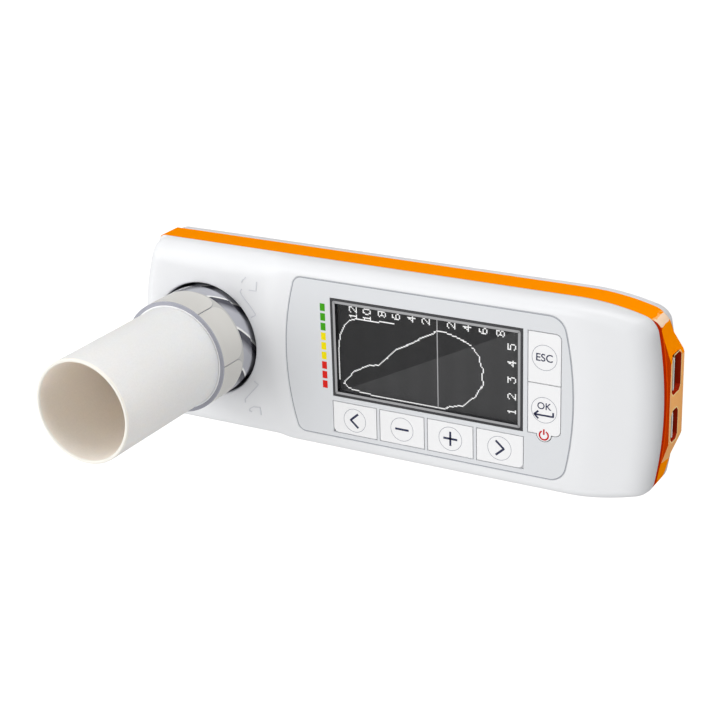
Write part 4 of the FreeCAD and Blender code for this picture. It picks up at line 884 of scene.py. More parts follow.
@dataclass
class Case:
    """The shells, the band and everything fixed inside.

    Attributes:
        finishes: The finish of each CAD node that stays as it is.
        smoothed: The finish of each node that a smoothly shaded copy stands for.
        ports: Middle and half size of the two ports, on Y and on Z.
        port_mouth: Where the ports' walls end on X.
    """
    finishes: dict = field(default_factory=lambda: {
        "battery_door": Finish.SHELL, "display_bezel": Finish.BEZEL,
        "display_window": Finish.WINDOW, "lcd_glass": Finish.DISPLAY, "backlight_panel": Finish.BACKLIGHT,
        "key_domes": Finish.STEEL, "main_board": Finish.BOARD, "emitter_board": Finish.BOARD,
        "detector_board": Finish.BOARD, "usb_socket": Finish.STEEL, "sensor_socket": Finish.STEEL,
        "battery_pack": Finish.BATTERY, "battery_contacts": Finish.CHIP, "buzzer": Finish.CHIP,
        "processor_chip": Finish.CHIP, "radio_module": Finish.STEEL, "battery_door_screw": Finish.STEEL,
    })
    smoothed: dict = field(default_factory=lambda: {
        "rear_shell": Finish.SHELL, "keypad_overlay": Finish.OVERLAY, "turbine_seat": Finish.SEAT,
        "infrared_emitter": Finish.LENS, "infrared_detector": Finish.LENS, "rear_swirler": Finish.VANE,
        "front_bearing": Finish.BRASS, "rear_bearing": Finish.BRASS, "rotor_vane": Finish.ROTOR,
        "rotor_axle": Finish.STEEL,
    })
    ports: tuple = ((8.0, 11.5, 5.5, 3.3), (-6.4, 12.0, 4.5, 2.6))
    port_mouth: float = 74.0

    def near_port(self, centre: np.ndarray, spare: float) -> np.ndarray:
        """Which face centres lie within a port's opening, widened by a spare."""
        inside = np.zeros(len(centre), bool)
        for y, z, half_width, half_height in self.ports:
            inside |= ((np.abs(centre[:, 1] - y) < half_width + spare)
                       & (np.abs(centre[:, 2] - z) < half_height + spare))
        return inside & (centre[:, 0] > self.port_mouth)

    def band(self) -> None:
        """Finish the band: a lighter end face and a corner highlight, both painted, and painted shade under
        the white lip and in the ports.
        """
        piece = merged("middle_band", Finish.BAND)
        for finish in (Finish.BAND_END, Finish.BAND_SHADE, Finish.PORT_WALL, Finish.BAND_DEEP,
                       Finish.BAND_BUFFED):
            piece.data.materials.append(finish.material())
        # Painted highlight: the end face under the ledge takes the lighter orange.
        paint(piece, 1, lambda centre, normal: (normal[:, 0] > 0.9) & (centre[:, 0] > 78.1)
              & (centre[:, 1] < 11.8) & (centre[:, 2] < 15.8))
        # Painted shade: the slanted facet under the white lip takes the darkest orange.
        paint(piece, 2, lambda centre, normal: (normal[:, 2] > 0.3) & (normal[:, 2] < 0.9)
              & (centre[:, 0] > 72.0) & (centre[:, 2] > 15.0) & (centre[:, 2] < 18.4))
        # Painted shade: the band's walls inside the ports take the dark red-brown.
        paint(piece, 3, lambda centre, normal: self.near_port(centre, 0.05) & (np.abs(normal[:, 0]) < 0.3))
        # Painted shade: the wall and ledge under the white lip take the deeper orange.
        paint(piece, 4, lambda centre, normal: (centre[:, 0] > 77.0) & (centre[:, 2] > 15.78)
              & (centre[:, 2] < 16.62) & ((normal[:, 2] > 0.95) | (normal[:, 0] > 0.9)))
        # Painted highlight on the band's upper corner at the connector end: faces turned towards +X and +Y
        # take the lighter end-face orange, and those turned furthest take the pale peach.
        for slot, turn in ((1, 0.6), (5, 0.68)):
            paint(piece, slot, lambda centre, normal: (centre[:, 0] > 73.4) & (centre[:, 1] > 20.7)
                  & (normal[:, 0] > turn) & (normal[:, 1] > 0.35) & (np.abs(normal[:, 2]) < 0.3))

    def end_plate(self, outline: np.ndarray, start: float, depth: float) -> tuple[np.ndarray, list]:
        """A plate whose outline lies on Y and Z and whose thickness runs along X, from turned axes."""
        points, faces = plate(outline, start, depth)
        return points[:, [2, 0, 1]], faces

    def fittings(self) -> None:
        """Fill the ports: near-black painted shadow in their depths, a painted glint on the socket's upper
        edge, and painted highlight lines round the mouths and below the ledge.
        """
        dark, steel, rim_highlights = [], [], []
        for y, z, half_width, half_height in self.ports:
            # Painted shadow: a near-black plate across the back of the port.
            back = rounded_box(y - half_width + 0.03, z - half_height + 0.03, y + half_width - 0.03,
                               z + half_height - 0.03, (1.15,) * 4, 2)
            dark.append(self.end_plate(back, 77.5, 0.3))
            side, top = half_width - 1.0, z + half_height - 1.45
            # Painted shadow: a near-black block inside the socket.
            dark.append(self.end_plate(rounded_box(y - side, top - 0.75 * half_height, y + side, top,
                                                   (0.4,) * 4, 6),
                                       77.7, 1.6))
            # Painted glint: a near-white strip along the socket's upper edge.
            steel.append(self.end_plate(rounded_box(y - side, top - 1.05, y + side, top - 0.3, (0.2,) * 4, 4),
                                        77.7, 1.95))
            # Painted highlight: a pale line round the port's mouth.
            mouth = rounded_box(y - half_width - 0.16, z - half_height - 0.16, y + half_width + 0.16,
                                z + half_height + 0.16, (1.25,) * 4, 2)
            points, faces = strip(mouth, 0.32, 79.985, 0.02, True)
            rim_highlights.append((points[:, [2, 0, 1]], faces))
        # Painted highlight: a pale line along the end face's upper edge, below the ledge.
        points, faces = strip(polyline([(-10.5, 15.66), (11.8, 15.66)], 22.3), 0.24, 79.985, 0.02, False)
        rim_highlights.append((points[:, [2, 0, 1]], faces))
        piece_of("port_painted_shadows", *joined(dark), "case", "chip_black", Finish.PORT_DARK, smooth=False)
        piece_of("port_edge_glints", *joined(steel), "case", "steel", Finish.PORT_METAL, smooth=False)
        piece_of("port_rim_highlights", *joined(rim_highlights), "case", "band_orange", Finish.PORT_RIM, smooth=False)

    def build(self) -> None:
        """Dress the keys, the screws and the listed CAD nodes or stand smooth copies in for them, then finish
        the band and fill the ports.
        """
        for name, node in frame["nodes"].items():
            if name.startswith("key_") and name != "key_domes":
                dress(node, Finish.KEY)
            elif name.startswith(("case_screw", "board_screw")):
                dress(node, Finish.STEEL)
            elif name in self.smoothed:
                merged(name, self.smoothed[name])
            elif name in self.finishes:
                dress(node, self.finishes[name])
        self.band()
        self.fittings()


# The front shell

def smooth(value: np.ndarray) -> np.ndarray:
    """Rise from 0 to 1 with level ends: three squares less two cubes of the value, clipped to 0 and 1."""
    clipped = np.clip(value, 0.0, 1.0)
    return clipped * clipped * (3.0 - 2.0 * clipped)


def arc(centre: tuple, radius: float, start: float, end: float, count: int) -> np.ndarray:
    """Points of an arc between two angles in radians, without its last point."""
    angle = np.linspace(start, end, count, endpoint=False)
    return np.stack([centre[0] + radius * np.cos(angle), centre[1] + radius * np.sin(angle)], 1)


def shares(path: np.ndarray) -> np.ndarray:
    """How far along a path each point lies, as a share of the whole length."""
    run = np.concatenate([[0.0], np.cumsum(np.linalg.norm(np.diff(path, axis=0), axis=1))])
    return run / run[-1]


@dataclass
class Overlay:
    """The outline of the keypad overlay: two level edges between two bowed ones.

    Attributes:
        top: Height of the top edge on Y.
        bottom: Height of the bottom edge on Y.
        left_centre: Centre of the left bow on X.
        left_bow: Radius of the left bow.
        right_centre: Centre of the right bow on X.
        right_bow: Radius of the right bow.
        left_corner: Radius of the left corners.
        right_corner: Radius of the right corners.
        corner_weight: How much more densely the corners are drawn than the edges.
    """
    top: float = 23.85
    bottom: float = -22.7
    left_centre: float = 46.1
    left_bow: float = 76.0
    right_centre: float = -33.0
    right_bow: float = 90.2
    left_corner: float = 3.0
    right_corner: float = 5.0
    corner_weight: float = 4.0

    def corners(self) -> list[tuple]:
        """Centre, radius, start and end angle of the four corners, anticlockwise from the lower left.

        Each one touches a level edge and a bow from inside, so its centre lies a radius inside both.
        """
        made = []
        for left, upper in ((True, False), (False, False), (False, True), (True, True)):
            radius = self.left_corner if left else self.right_corner
            y = self.top - radius if upper else self.bottom + radius
            bow, centre = (self.left_bow, self.left_centre) if left else (self.right_bow, self.right_centre)
            reach = math.sqrt((bow - radius) ** 2 - y * y)
            x = centre - reach if left else centre + reach
            turn = math.atan2(y, x - centre) % (2.0 * math.pi)
            flat = math.pi * (0.5 if upper else 1.5)
            made.append(((x, y), radius, *((turn, flat) if left != upper else (flat, turn))))
        return made

    def runs(self, offset: float) -> list[tuple[np.ndarray, np.ndarray]]:
        """The outline in four runs from the middle of one corner to the middle of the next.

        Args:
            offset: How far outside the outline the runs lie.

        Returns:
            Points and running weight of the bottom, right, top and left run, anticlockwise.
        """
        corners = self.corners()
        runs = []
        for index, (centre, radius, start, end) in enumerate(corners):
            after, after_radius, after_start, after_end = corners[(index + 1) % 4]
            leaving = arc(centre, radius + offset, (start + end) / 2.0, end, 24)
            arriving = arc(after, after_radius + offset, after_start, (after_start + after_end) / 2.0, 24)
            between = arc(centre, radius + offset, end, end, 1)
            if index == 1:
                between = arc((self.right_centre, 0.0), self.right_bow + offset, end - 2.0 * math.pi,
                              after_start, 60)
            if index == 3:
                between = arc((self.left_centre, 0.0), self.left_bow + offset, end, after_start, 60)
            last = arc(after, after_radius + offset, (after_start + after_end) / 2.0, 0.0, 1)
            path = np.vstack([leaving, between, arriving, last])
            weight = np.ones(len(path) - 1)
            weight[:24] = weight[-24:] = self.corner_weight
            steps = np.linalg.norm(np.diff(path, axis=0), axis=1)
            runs.append((path, np.concatenate([[0.0], np.cumsum(steps * weight)])))
        return runs

    def matched(self, offset: float, spacings: list[np.ndarray]) -> np.ndarray:
        """Points of the outline at given shares of its four runs, found by the running weight."""
        points = []
        for (path, run), share in zip(self.runs(offset), spacings):
            points.append(np.stack([np.interp(share * run[-1], run, path[:, axis]) for axis in (0, 1)], 1))
        return np.vstack(points)


@dataclass
class FrontShell:
    """The white front shell: a wall that rolls over into a face with the turbine hole and the keypad recess.

    Attributes:
        half_width: Half the width of the case.
        left_centre: Centre of the turbine end's bow on X.
        left_bow: Radius of the turbine end's bow.
        taper_centre: Centre of the arc that narrows the connector end.
        taper_bow: Radius of that arc.
        right_centre: Centre of the connector end's bow on X.
        right_bow: Radius of the connector end's bow.
        split: Where the face parts into the head and the keypad half, on X.
        base: Height of the shell's lower edge.
        face: Height of the keypad half's face.
        head_drop: How far the head lies lower.
        ramp_start: Radius about the left bow's centre of the overlay where the head starts to fall.
        ramp_run: Length of that fall.
        crease: Radius about the right centre where the face starts to fall to the connector end.
        crease_soft: Softness of that crease.
        fall: Slope of the fall.
        wall: Thickness of the shell.
        hole: Radius of the turbine hole.
        hole_place: Centre of the hole on X.
        rim: Radius of the hole's rounded rim.
    """
    half_width: float = 27.6
    left_centre: float = -5.0
    left_bow: float = 75.0
    taper_centre: tuple = (55.0, -42.4)
    taper_bow: float = 70.0
    right_centre: float = -33.0
    right_bow: float = 112.4
    split: float = -35.0
    base: float = 18.5
    face: float = 25.0
    head_drop: float = 0.6
    ramp_start: float = 79.5
    ramp_run: float = 5.5
    crease: float = 95.0
    crease_soft: float = 1.2
    fall: float = math.tan(math.radians(6.7))
    wall: float = 1.35
    hole: float = 16.92
    hole_place: float = -57.25
    rim: float = 0.5
    overlay: Overlay = field(default_factory=Overlay)
    stations: tuple = (20, 14, 14, 64, 36, 14, 24)

    def half(self, inset: float, left: float, right: float) -> np.ndarray:
        """Upper half of the outline, from the connector end's middle to the turbine end's middle.

        Args:
            inset: How far inside the case's outline it lies.
            left: Radius of the turbine end's corner.
            right: Radius of the connector end's corner.

        Returns:
            Points, always as many. Each corner's centre is where it touches its two neighbours from inside.
        """
        side = self.half_width - inset
        first, second = np.array(self.taper_centre), np.array([self.right_centre, 0.0])
        near, far = self.taper_bow - inset - right, self.right_bow - inset - right
        apart = float(np.linalg.norm(second - first))
        unit = (second - first) / apart
        along = (near ** 2 - far ** 2 + apart ** 2) / (2.0 * apart)
        across = math.sqrt(near ** 2 - along ** 2)
        corner = first + unit * along + np.array([unit[1], -unit[0]]) * across
        end_angle = math.atan2(corner[1], corner[0] - self.right_centre)
        taper_angle = math.atan2(corner[1] - first[1], corner[0] - first[0])
        left_y = side - left
        left_x = self.left_centre - math.sqrt((self.left_bow - inset - left) ** 2 - left_y ** 2)
        bow_angle = math.atan2(left_y, left_x - self.left_centre)
        count = self.stations
        level_right = np.linspace(self.taper_centre[0], self.split, count[3], endpoint=False)
        level_left = np.linspace(self.split, left_x, count[4], endpoint=False)
        return np.vstack([
            arc(tuple(second), self.right_bow - inset, 0.0, end_angle, count[0]),
            arc(tuple(corner), right, end_angle, taper_angle, count[1]),
            arc(tuple(first), self.taper_bow - inset, taper_angle, math.pi / 2, count[2]),
            np.stack([level_right, np.full(count[3], side)], 1),
            np.stack([level_left, np.full(count[4], side)], 1),
            arc((left_x, left_y), left, math.pi / 2, bow_angle, count[5]),
            arc((self.left_centre, 0.0), self.left_bow - inset, bow_angle, math.pi, count[6]),
            [[self.left_centre - self.left_bow + inset, 0.0]],
        ])

    def ring(self, inset: float, left: float, right: float) -> np.ndarray:
        """The whole outline, anticlockwise: the upper half and its mirror image."""
        upper = self.half(inset, left, right)
        return np.vstack([upper, upper[-2:0:-1] * (1.0, -1.0)])

    def height(self, flat: np.ndarray) -> np.ndarray:
        """Height of the face over points.

        Args:
            flat: Points on the plan, along the last axis.

        Returns:
            Heights: the face, less the head's soft step, less a fall that starts softly at the crease.
        """
        x, y = flat[..., 0], flat[..., 1]
        step = smooth((np.hypot(x - self.overlay.left_centre, y) - self.ramp_start) / self.ramp_run)
        past = (np.hypot(x - self.right_centre, y) - self.crease) / self.crease_soft
        return self.face - self.head_drop * step - self.fall * self.crease_soft * np.logaddexp(0.0, past)

    def lip(self, shoulder: np.ndarray) -> np.ndarray:
        """Where the roll meets the face: five inset outlines blended along the case."""
        x, y = shoulder[:, 0], shoulder[:, 1:]
        station = np.minimum(np.arange(len(shoulder)), len(shoulder) - np.arange(len(shoulder)))
        to_head = smooth((-29.5 - x) / 8.0)[:, None]
        to_tip = smooth((station - 142.0) / 22.0)[:, None]
        to_end = smooth((48.0 - station) / 36.0)[:, None]
        sides = np.where(y > 0, self.ring(3.45, 3.0, 3.0), self.ring(4.6, 3.0, 3.0))
        head = self.ring(6.6, 3.2, 3.0) * (1.0 - to_tip) + self.ring(4.35, 3.2, 3.0) * to_tip
        end = self.ring(7.0, 3.0, 6.0)
        return sides * (1.0 - to_head - to_end) + head * to_head + end * to_end

    def roll(self) -> tuple[np.ndarray, np.ndarray]:
        """The wall and the roll, as rows of the closed outline.

        Returns:
            The grid and the lip. Up the roll, the way inwards goes as one less the cosine of an angle and the
            height as its sine, up to the angle at which the slope is the face's own.
        """
        base, shoulder = self.ring(0.0, 2.2, 5.5), self.ring(0.12, 4.7, 5.5)
        lip = self.lip(shoulder)
        top = self.height(lip)
        outwards = shoulder - lip
        reach = np.linalg.norm(outwards, axis=1)
        slope = np.maximum((top - self.height(lip + 0.2 * outwards / reach[:, None])) / 0.2, 1e-4)
        in_head = smooth((-29.5 - shoulder[:, 0]) / 8.0)
        foot = np.maximum(top - (4.6 + 0.6 * in_head), self.base + 0.6)
        rise = top - foot
        last = np.arctan2(rise, slope * reach)
        angle = np.linspace(0.0, 1.0, 15)[:, None] * last[None, :]
        inwards = (1.0 - np.cos(angle)) / (1.0 - np.cos(last))
        upwards = np.sin(angle) / np.sin(last)
        rolled = np.dstack([shoulder[None] + (lip - shoulder)[None] * inwards[..., None],
                            foot + rise * upwards])
        share = np.array([0.0, 0.35, 0.7])[:, None, None]
        walls = np.concatenate([base[None] * (1.0 - share) + shoulder[None] * share,
                                (self.base + (foot[None] - self.base) * share[..., 0])[..., None]], axis=2)
        return np.concatenate([walls, rolled]), lip

    def spanned(self, outer: np.ndarray, inner: np.ndarray, rows: int) -> np.ndarray:
        """Rows of the face between two matched outlines: even shares of the way, at the face's height."""
        share = np.linspace(0.0, 1.0, rows)[:, None, None]
        flat = outer[None] * (1.0 - share) + inner[None] * share
        return np.concatenate([flat, self.height(flat)[..., None]], axis=2)

    def head(self, lip: np.ndarray, seam: np.ndarray, first: int, last: int) -> np.ndarray:
        """The head's face: rays run from its outline to the turbine hole, then down the rounded rim."""
        outer = np.vstack([lip[first:last + 1], seam[::-1][1:-1]])
        rays = outer - (self.hole_place, 0.0)
        rays /= np.linalg.norm(rays, axis=1, keepdims=True)
        inner = rays * (self.hole + self.rim) + (self.hole_place, 0.0)
        face = self.spanned(outer, inner, 14)
        edge = face[-1, :, 2]
        angle = np.linspace(0.0, math.pi / 2, 7)[1:]
        reach = np.append(self.hole + self.rim * (1.0 - np.sin(angle)), self.hole)
        fall = np.append(self.rim * (1.0 - np.cos(angle)), self.rim + 0.85)
        rim = np.concatenate([rays[None] * reach[:, None, None] + (self.hole_place, 0.0),
                              (edge[None] - fall[:, None])[..., None]], axis=2)
        return np.concatenate([face, rim])

    def keypad(self, lip: np.ndarray, seam: np.ndarray, first: int, last: int) -> np.ndarray:
        """The face round the keypad overlay, then the recess's wall and a narrow ledge under the overlay."""
        corner = self.stations[0] + self.stations[1] // 2
        bottom = lip[last:len(lip) - corner]
        right = np.vstack([lip[len(lip) - corner:], lip[:corner]])
        top = lip[corner:first]
        left = seam[:-1]
        outer = np.vstack([bottom, right, top, left])
        ends = [right[0], top[0], left[0], bottom[0]]
        spacings = [shares(np.vstack([run, end]))[:-1] for run, end in zip((bottom, right, top, left), ends)]
        face = self.spanned(outer, self.overlay.matched(0.16, spacings), 10)
        rows = [face]
        for offset, level in ((0.07, self.face - 0.08), (0.05, 24.15), (-0.65, 24.15)):
            inner = self.overlay.matched(offset, spacings)
            rows.append(np.hstack([inner, np.full((len(inner), 1), level)])[None])
        return np.concatenate(rows)

    def build(self) -> None:
        """Make the shell: three grids joined along the lip and the seam, then thickened inwards."""
        rolled, lip = self.roll()
        first = sum(self.stations[:4])
        last = len(lip) - first
        across = np.linspace(lip[first, 1], lip[last, 1], 46)
        seam = np.stack([np.full(46, self.split), across], 1)
        seam[0], seam[-1] = lip[first], lip[last]
        grids = [rolled, self.head(lip, seam, first, last), self.keypad(lip, seam, first, last)]
        parts = [(grid.reshape(-1, 3), grid_faces(grid.shape[0], grid.shape[1], False, True).tolist())
                 for grid in grids]
        piece = piece_of("front_shell_skin", *joined(parts), "case", "shell_white", Finish.SHELL)
        close(piece)
        thicken = piece.modifiers.new("wall", "SOLIDIFY")
        thicken.thickness = self.wall * MM
        thicken.offset = -1.0
        thicken.use_even_offset = False
        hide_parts("front_shell")


@dataclass
class Marks:
    """The thin raised signs beside the turbine hole: two arrows and two padlocks.

    Attributes:
        level: Height of the face that they stand on.
        width: Width of a line.
        rise: Height of a line.
        lines: Places along each line.
    """
    level: float = 24.4
    width: float = 0.3
    rise: float = 0.16
    lines: tuple = (
        ((-43.88, 19.03), (-43.55, 19.77), (-42.93, 20.23), (-42.33, 20.9)),
        ((-38.83, 19.97), (-39.17, 17.2), (-41.61, 17.16)),
        ((-43.94, 17.05), (-44.54, 16.33), (-44.11, 15.45), (-41.15, 12.1), (-39.79, 10.26), (-39.89, 9.77),
         (-41.34, 9.0)),
        ((-41.46, -10.51), (-40.02, -11.36), (-42.77, -14.4), (-44.88, -16.75), (-44.87, -17.74)),
        ((-42.77, -20.34), (-43.65, -20.1), (-43.43, -19.4), (-42.12, -18.57), (-39.9, -18.49),
         (-39.68, -20.76)),
    )

    def build(self) -> None:
        """Raise each line as a strip that follows its corners."""
        strips = [strip(polyline(list(line), 0.25), self.width, self.level - 0.02, self.rise, False)
                  for line in self.lines]
        # Painted shade: the strips take the greyer white in place of the shade along their edges.
        piece_of("lock_marks", *joined(strips), "case", "shell_white", Finish.MARK, smooth=False)


# The turbine and the mouthpiece

def wrapped(points: np.ndarray, centre: float) -> np.ndarray:
    """Bend points round an upright axis: their coordinates are angle, height and radius."""
    angle, height, radius = points[..., 0], points[..., 1], points[..., 2]
    return np.stack([centre + radius * np.cos(angle), radius * np.sin(angle), height], axis=-1)


@dataclass
class Turbine:
    """The clear turbine: a barrel, a socket with six grip pads, its rim, and the swirler's vanes.

    Attributes:
        centre: Where the axis stands on X.
        barrel: Radius and height along the barrel's wall.
        socket: Radius and height along the socket's wall.
        ring: Radius and height along the grey ring on the rim.
        lip_highlight: Radius and height along the white lip inside the ring, which closes the gap to the
            tube; its white is a painted highlight.
        pads: How many grip pads there are.
        pad_turn: Angle of the middle of the first gap between pads, in degrees.
        pad_span: Angle that a pad spans, in degrees.
        pad_foot: Height of a pad's lower edge.
        pad_top: Height of a pad's upper edge.
        pad_corner: Radius of a pad's lower corners.
        pad_shade_line: Width of the grey line painted as shade along a pad's edge.
        lug: Radius and height of a lug's section.
        lug_span: Angle that a lug spans, in degrees.
        vanes: How many vanes the swirler has.
        twist: Angle by which a vane turns on its way up, in degrees.
        vane_thick: Thickness of a vane.
    """
    centre: float = -57.25
    barrel: tuple = ((13.6, 0.8), (14.6, 0.8), (14.6, 3.1), (15.6, 3.1), (15.6, 24.6), (16.25, 25.4),
                     (16.25, 28.9), (16.05, 29.4), (13.6, 29.4))
    socket: tuple = ((14.65, 29.42), (16.05, 29.42), (16.05, 40.05), (15.56, 40.05), (14.66, 37.4))
    ring: tuple = ((15.3, 39.95), (16.38, 39.95), (16.4, 40.3), (16.3, 40.4), (15.3, 40.4))
    lip_highlight: tuple = ((14.7, 40.0), (15.3, 40.0), (15.3, 40.42), (15.2, 40.46), (14.95, 40.46), (14.95, 40.35),
                   (14.7, 40.3))
    pads: int = 6
    pad_turn: float = 58.0
    pad_span: float = 58.6
    pad_foot: float = 30.3
    pad_top: float = 39.95
    pad_corner: float = 3.2
    pad_shade_line: float = 0.26
    lug: tuple = ((15.3, 5.3), (16.6, 5.3), (16.6, 7.1), (15.3, 7.1))
    lug_span: float = 24.0
    vanes: int = 6
    twist: float = 42.0
    vane_thick: float = 0.8

    def sector(self, profile: tuple, start: float, span: float, steps: int) -> tuple[np.ndarray, list]:
        """Carry a closed section part of a turn about the axis and close both ends."""
        section = np.array(profile)
        angle = np.radians(np.linspace(start, start + span, steps))[:, None]
        grid = np.stack(np.broadcast_arrays(angle, section[None, :, 1], section[None, :, 0]), axis=-1)
        count = len(section)
        last = count * (steps - 1)
        faces = grid_faces(steps, count, False, True).tolist()
        faces += [list(range(count)), [last + index for index in reversed(range(count))]]
        return wrapped(grid, self.centre).reshape(-1, 3), faces

    def pad_grid(self, start: float, proud: float) -> tuple[np.ndarray, list]:
        """One grip pad: across it the lower edge rises as a quarter circle towards each side."""
        radius = self.socket[1][0] + proud
        half = math.radians(self.pad_span) / 2.0
        across = half * np.sin(np.linspace(-math.pi / 2, math.pi / 2, 40))
        edge = np.maximum(np.abs(across) * radius - (half * radius - self.pad_corner), 0.0)
        foot = self.pad_foot + self.pad_corner - np.sqrt(np.maximum(self.pad_corner ** 2 - edge ** 2, 0.0))
        middle = math.radians(start + self.pad_span / 2.0)
        inner, outer = np.full(40, radius - proud - 0.05), np.full(40, radius)
        top = np.full(40, self.pad_top)
        rows = [(foot, inner), (foot + 0.02, outer - 0.12), (foot + 0.14, outer), (top, outer), (top, inner)]
        grid = np.stack([np.stack([across + middle, height, reach], -1) for height, reach in rows], axis=1)
        count = len(rows)
        last = count * 39
        faces = grid_faces(40, count, False, True).tolist()
        faces += [list(range(count)), [last + index for index in reversed(range(count))]]
        return wrapped(grid, self.centre).reshape(-1, 3), faces

    def pad_outline(self, start: float, radius: float) -> tuple[np.ndarray, list]:
        """The line down one side of a pad, round its foot and up the other side, laid on the wall as painted
        shade along the pad's edge.
        """
        half = math.radians(self.pad_span) / 2.0 * radius
        corner = self.pad_corner
        path = np.vstack([
            polyline([(-half, self.pad_top), (-half, self.pad_foot + corner)], 1.0),
            ring_path((-half + corner, self.pad_foot + corner), corner, 180.0, 270.0, 12)[1:],
            polyline([(-half + corner, self.pad_foot), (half - corner, self.pad_foot)], 0.4)[1:],
            ring_path((half - corner, self.pad_foot + corner), corner, 270.0, 360.0, 12)[1:],
            polyline([(half, self.pad_foot + corner), (half, self.pad_top)], 1.0)[1:],
        ])
        points, faces = strip(path, self.pad_shade_line, radius - 0.04, 0.1, False)
        middle = math.radians(start + self.pad_span / 2.0)
        return wrapped(points / (radius, 1.0, 1.0) + (middle, 0.0, 0.0), self.centre), faces

    def vane(self, index: int, low_end: float, high_end: float) -> tuple[np.ndarray, list]:
        """One vane: a thin slab from the hub to the ring that turns evenly as it rises."""
        steps, reach = 20, np.linspace(2.2, 13.2, 10)
        half = np.full(10, self.vane_thick / 2.0)
        section = np.vstack([np.stack([reach, half], 1), np.stack([reach[::-1], -half], 1)])
        turn = np.radians(360.0 * index / self.vanes + np.linspace(0.0, self.twist, steps))[:, None]
        height = np.linspace(low_end, high_end, steps)[:, None]
        x = section[None, :, 0] * np.cos(turn) - section[None, :, 1] * np.sin(turn)
        y = section[None, :, 0] * np.sin(turn) + section[None, :, 1] * np.cos(turn)
        points = np.stack(np.broadcast_arrays(x + self.centre, y, height), axis=-1).reshape(-1, 3)
        last = 20 * (steps - 1)
        faces = grid_faces(steps, 20, False, True).tolist()
        return points, faces + [list(range(20)), [last + place for place in reversed(range(20))]]

    def build(self) -> None:
        """Make the clear walls with their painted vane shading, the pads with their painted shade lines, the
        ring with its white lip painted as a highlight, the lugs and the front swirler.
        """
        slot = "turbine_clear"
        barrel = [turned(np.array(self.barrel), self.centre)]
        barrel += [self.sector(self.lug, 360.0 * lug / 3, self.lug_span, 9) for lug in range(3)]
        # The barrel's wall carries the painted vane shade and highlights.
        piece = piece_of("turbine_barrel", *joined(barrel), "turbine", slot, Finish.WALL)
        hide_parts("turbine_housing")
        close(piece)
        close(piece_of("turbine_socket", *turned(np.array(self.socket), self.centre), "turbine", slot,
                       Finish.SOCKET))
        starts = [self.pad_turn + (360.0 / self.pads - self.pad_span) / 2.0 + 360.0 * pad / self.pads
                  for pad in range(self.pads)]
        pads = [self.pad_grid(start, 0.33) for start in starts]
        close(piece_of("grip_pads", *joined(pads), "turbine", slot, Finish.PAD))
        # Painted shade: grey lines along the pads' edges.
        lines = [self.pad_outline(start, self.socket[1][0]) for start in starts]
        piece_of("grip_edge_shades", *joined(lines), "turbine", slot, Finish.PAD_LINE)
        close(piece_of("socket_ring", *turned(np.array(self.ring), self.centre), "turbine", slot, Finish.RIM))
        # Painted highlight: the lip inside the ring takes the white key finish as the bright line between the
        # ring and the tube.
        close(piece_of("socket_lip_highlight", *turned(np.array(self.lip_highlight), self.centre), "turbine", slot, Finish.KEY))
        bottom, top = low("front_swirler")[2], high("front_swirler")[2]
        hub = np.array([(1.35, bottom), (2.6, bottom), (2.6, top - 1.0), (2.3, top - 0.3), (1.6, top),
                        (0.0, top),
                        (0.0, bottom + 2.05), (1.35, bottom + 2.05)])
        vanes = [self.vane(index, bottom, top) for index in range(self.vanes)]
        swirler = piece_of("swirler_vanes", *joined([turned(hub, self.centre, 64)] + vanes), "turbine",
                           "vane_grey", Finish.VANE)
        close(swirler)
        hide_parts("front_swirler")
        ring = np.array([(13.0, bottom), (13.55, bottom), (13.55, top), (13.0, top)])
        close(piece_of("swirler_ring", *turned(ring, self.centre), "turbine", "vane_grey", Finish.CLEAR))


@dataclass
class Mouthpiece:
    """The disposable tube of coated card.

    Attributes:
        centre: Where the axis stands on X.
        profile: Radius and height along the wall, from the inserted end up the outside and down the bore.
        lip: Height above which the cut edge shows bare card.
    """
    centre: float = -57.25
    profile: tuple = ((13.85, 29.5), (14.55, 29.5), (14.55, 40.4), (14.85, 40.55), (14.85, 82.9),
                      (14.8, 83.3),
                      (14.6, 83.5), (14.1, 83.5), (13.9, 83.3), (13.85, 82.9))
    lip: float = 83.0

    def build(self) -> None:
        """Turn the wall about the axis and give the cut edge its own finish."""
        points, faces = turned(np.array(self.profile), self.centre, 256)
        piece = piece_of("card_tube", points, faces, "mouthpiece_tube", "tube_card", Finish.CARD)
        close(piece)
        piece.data.materials.append(Finish.CARD_EDGE.material())
        paint(piece, 1, lambda centre, normal: centre[:, 2] > self.lip)
        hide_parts("mouthpiece")


# The display

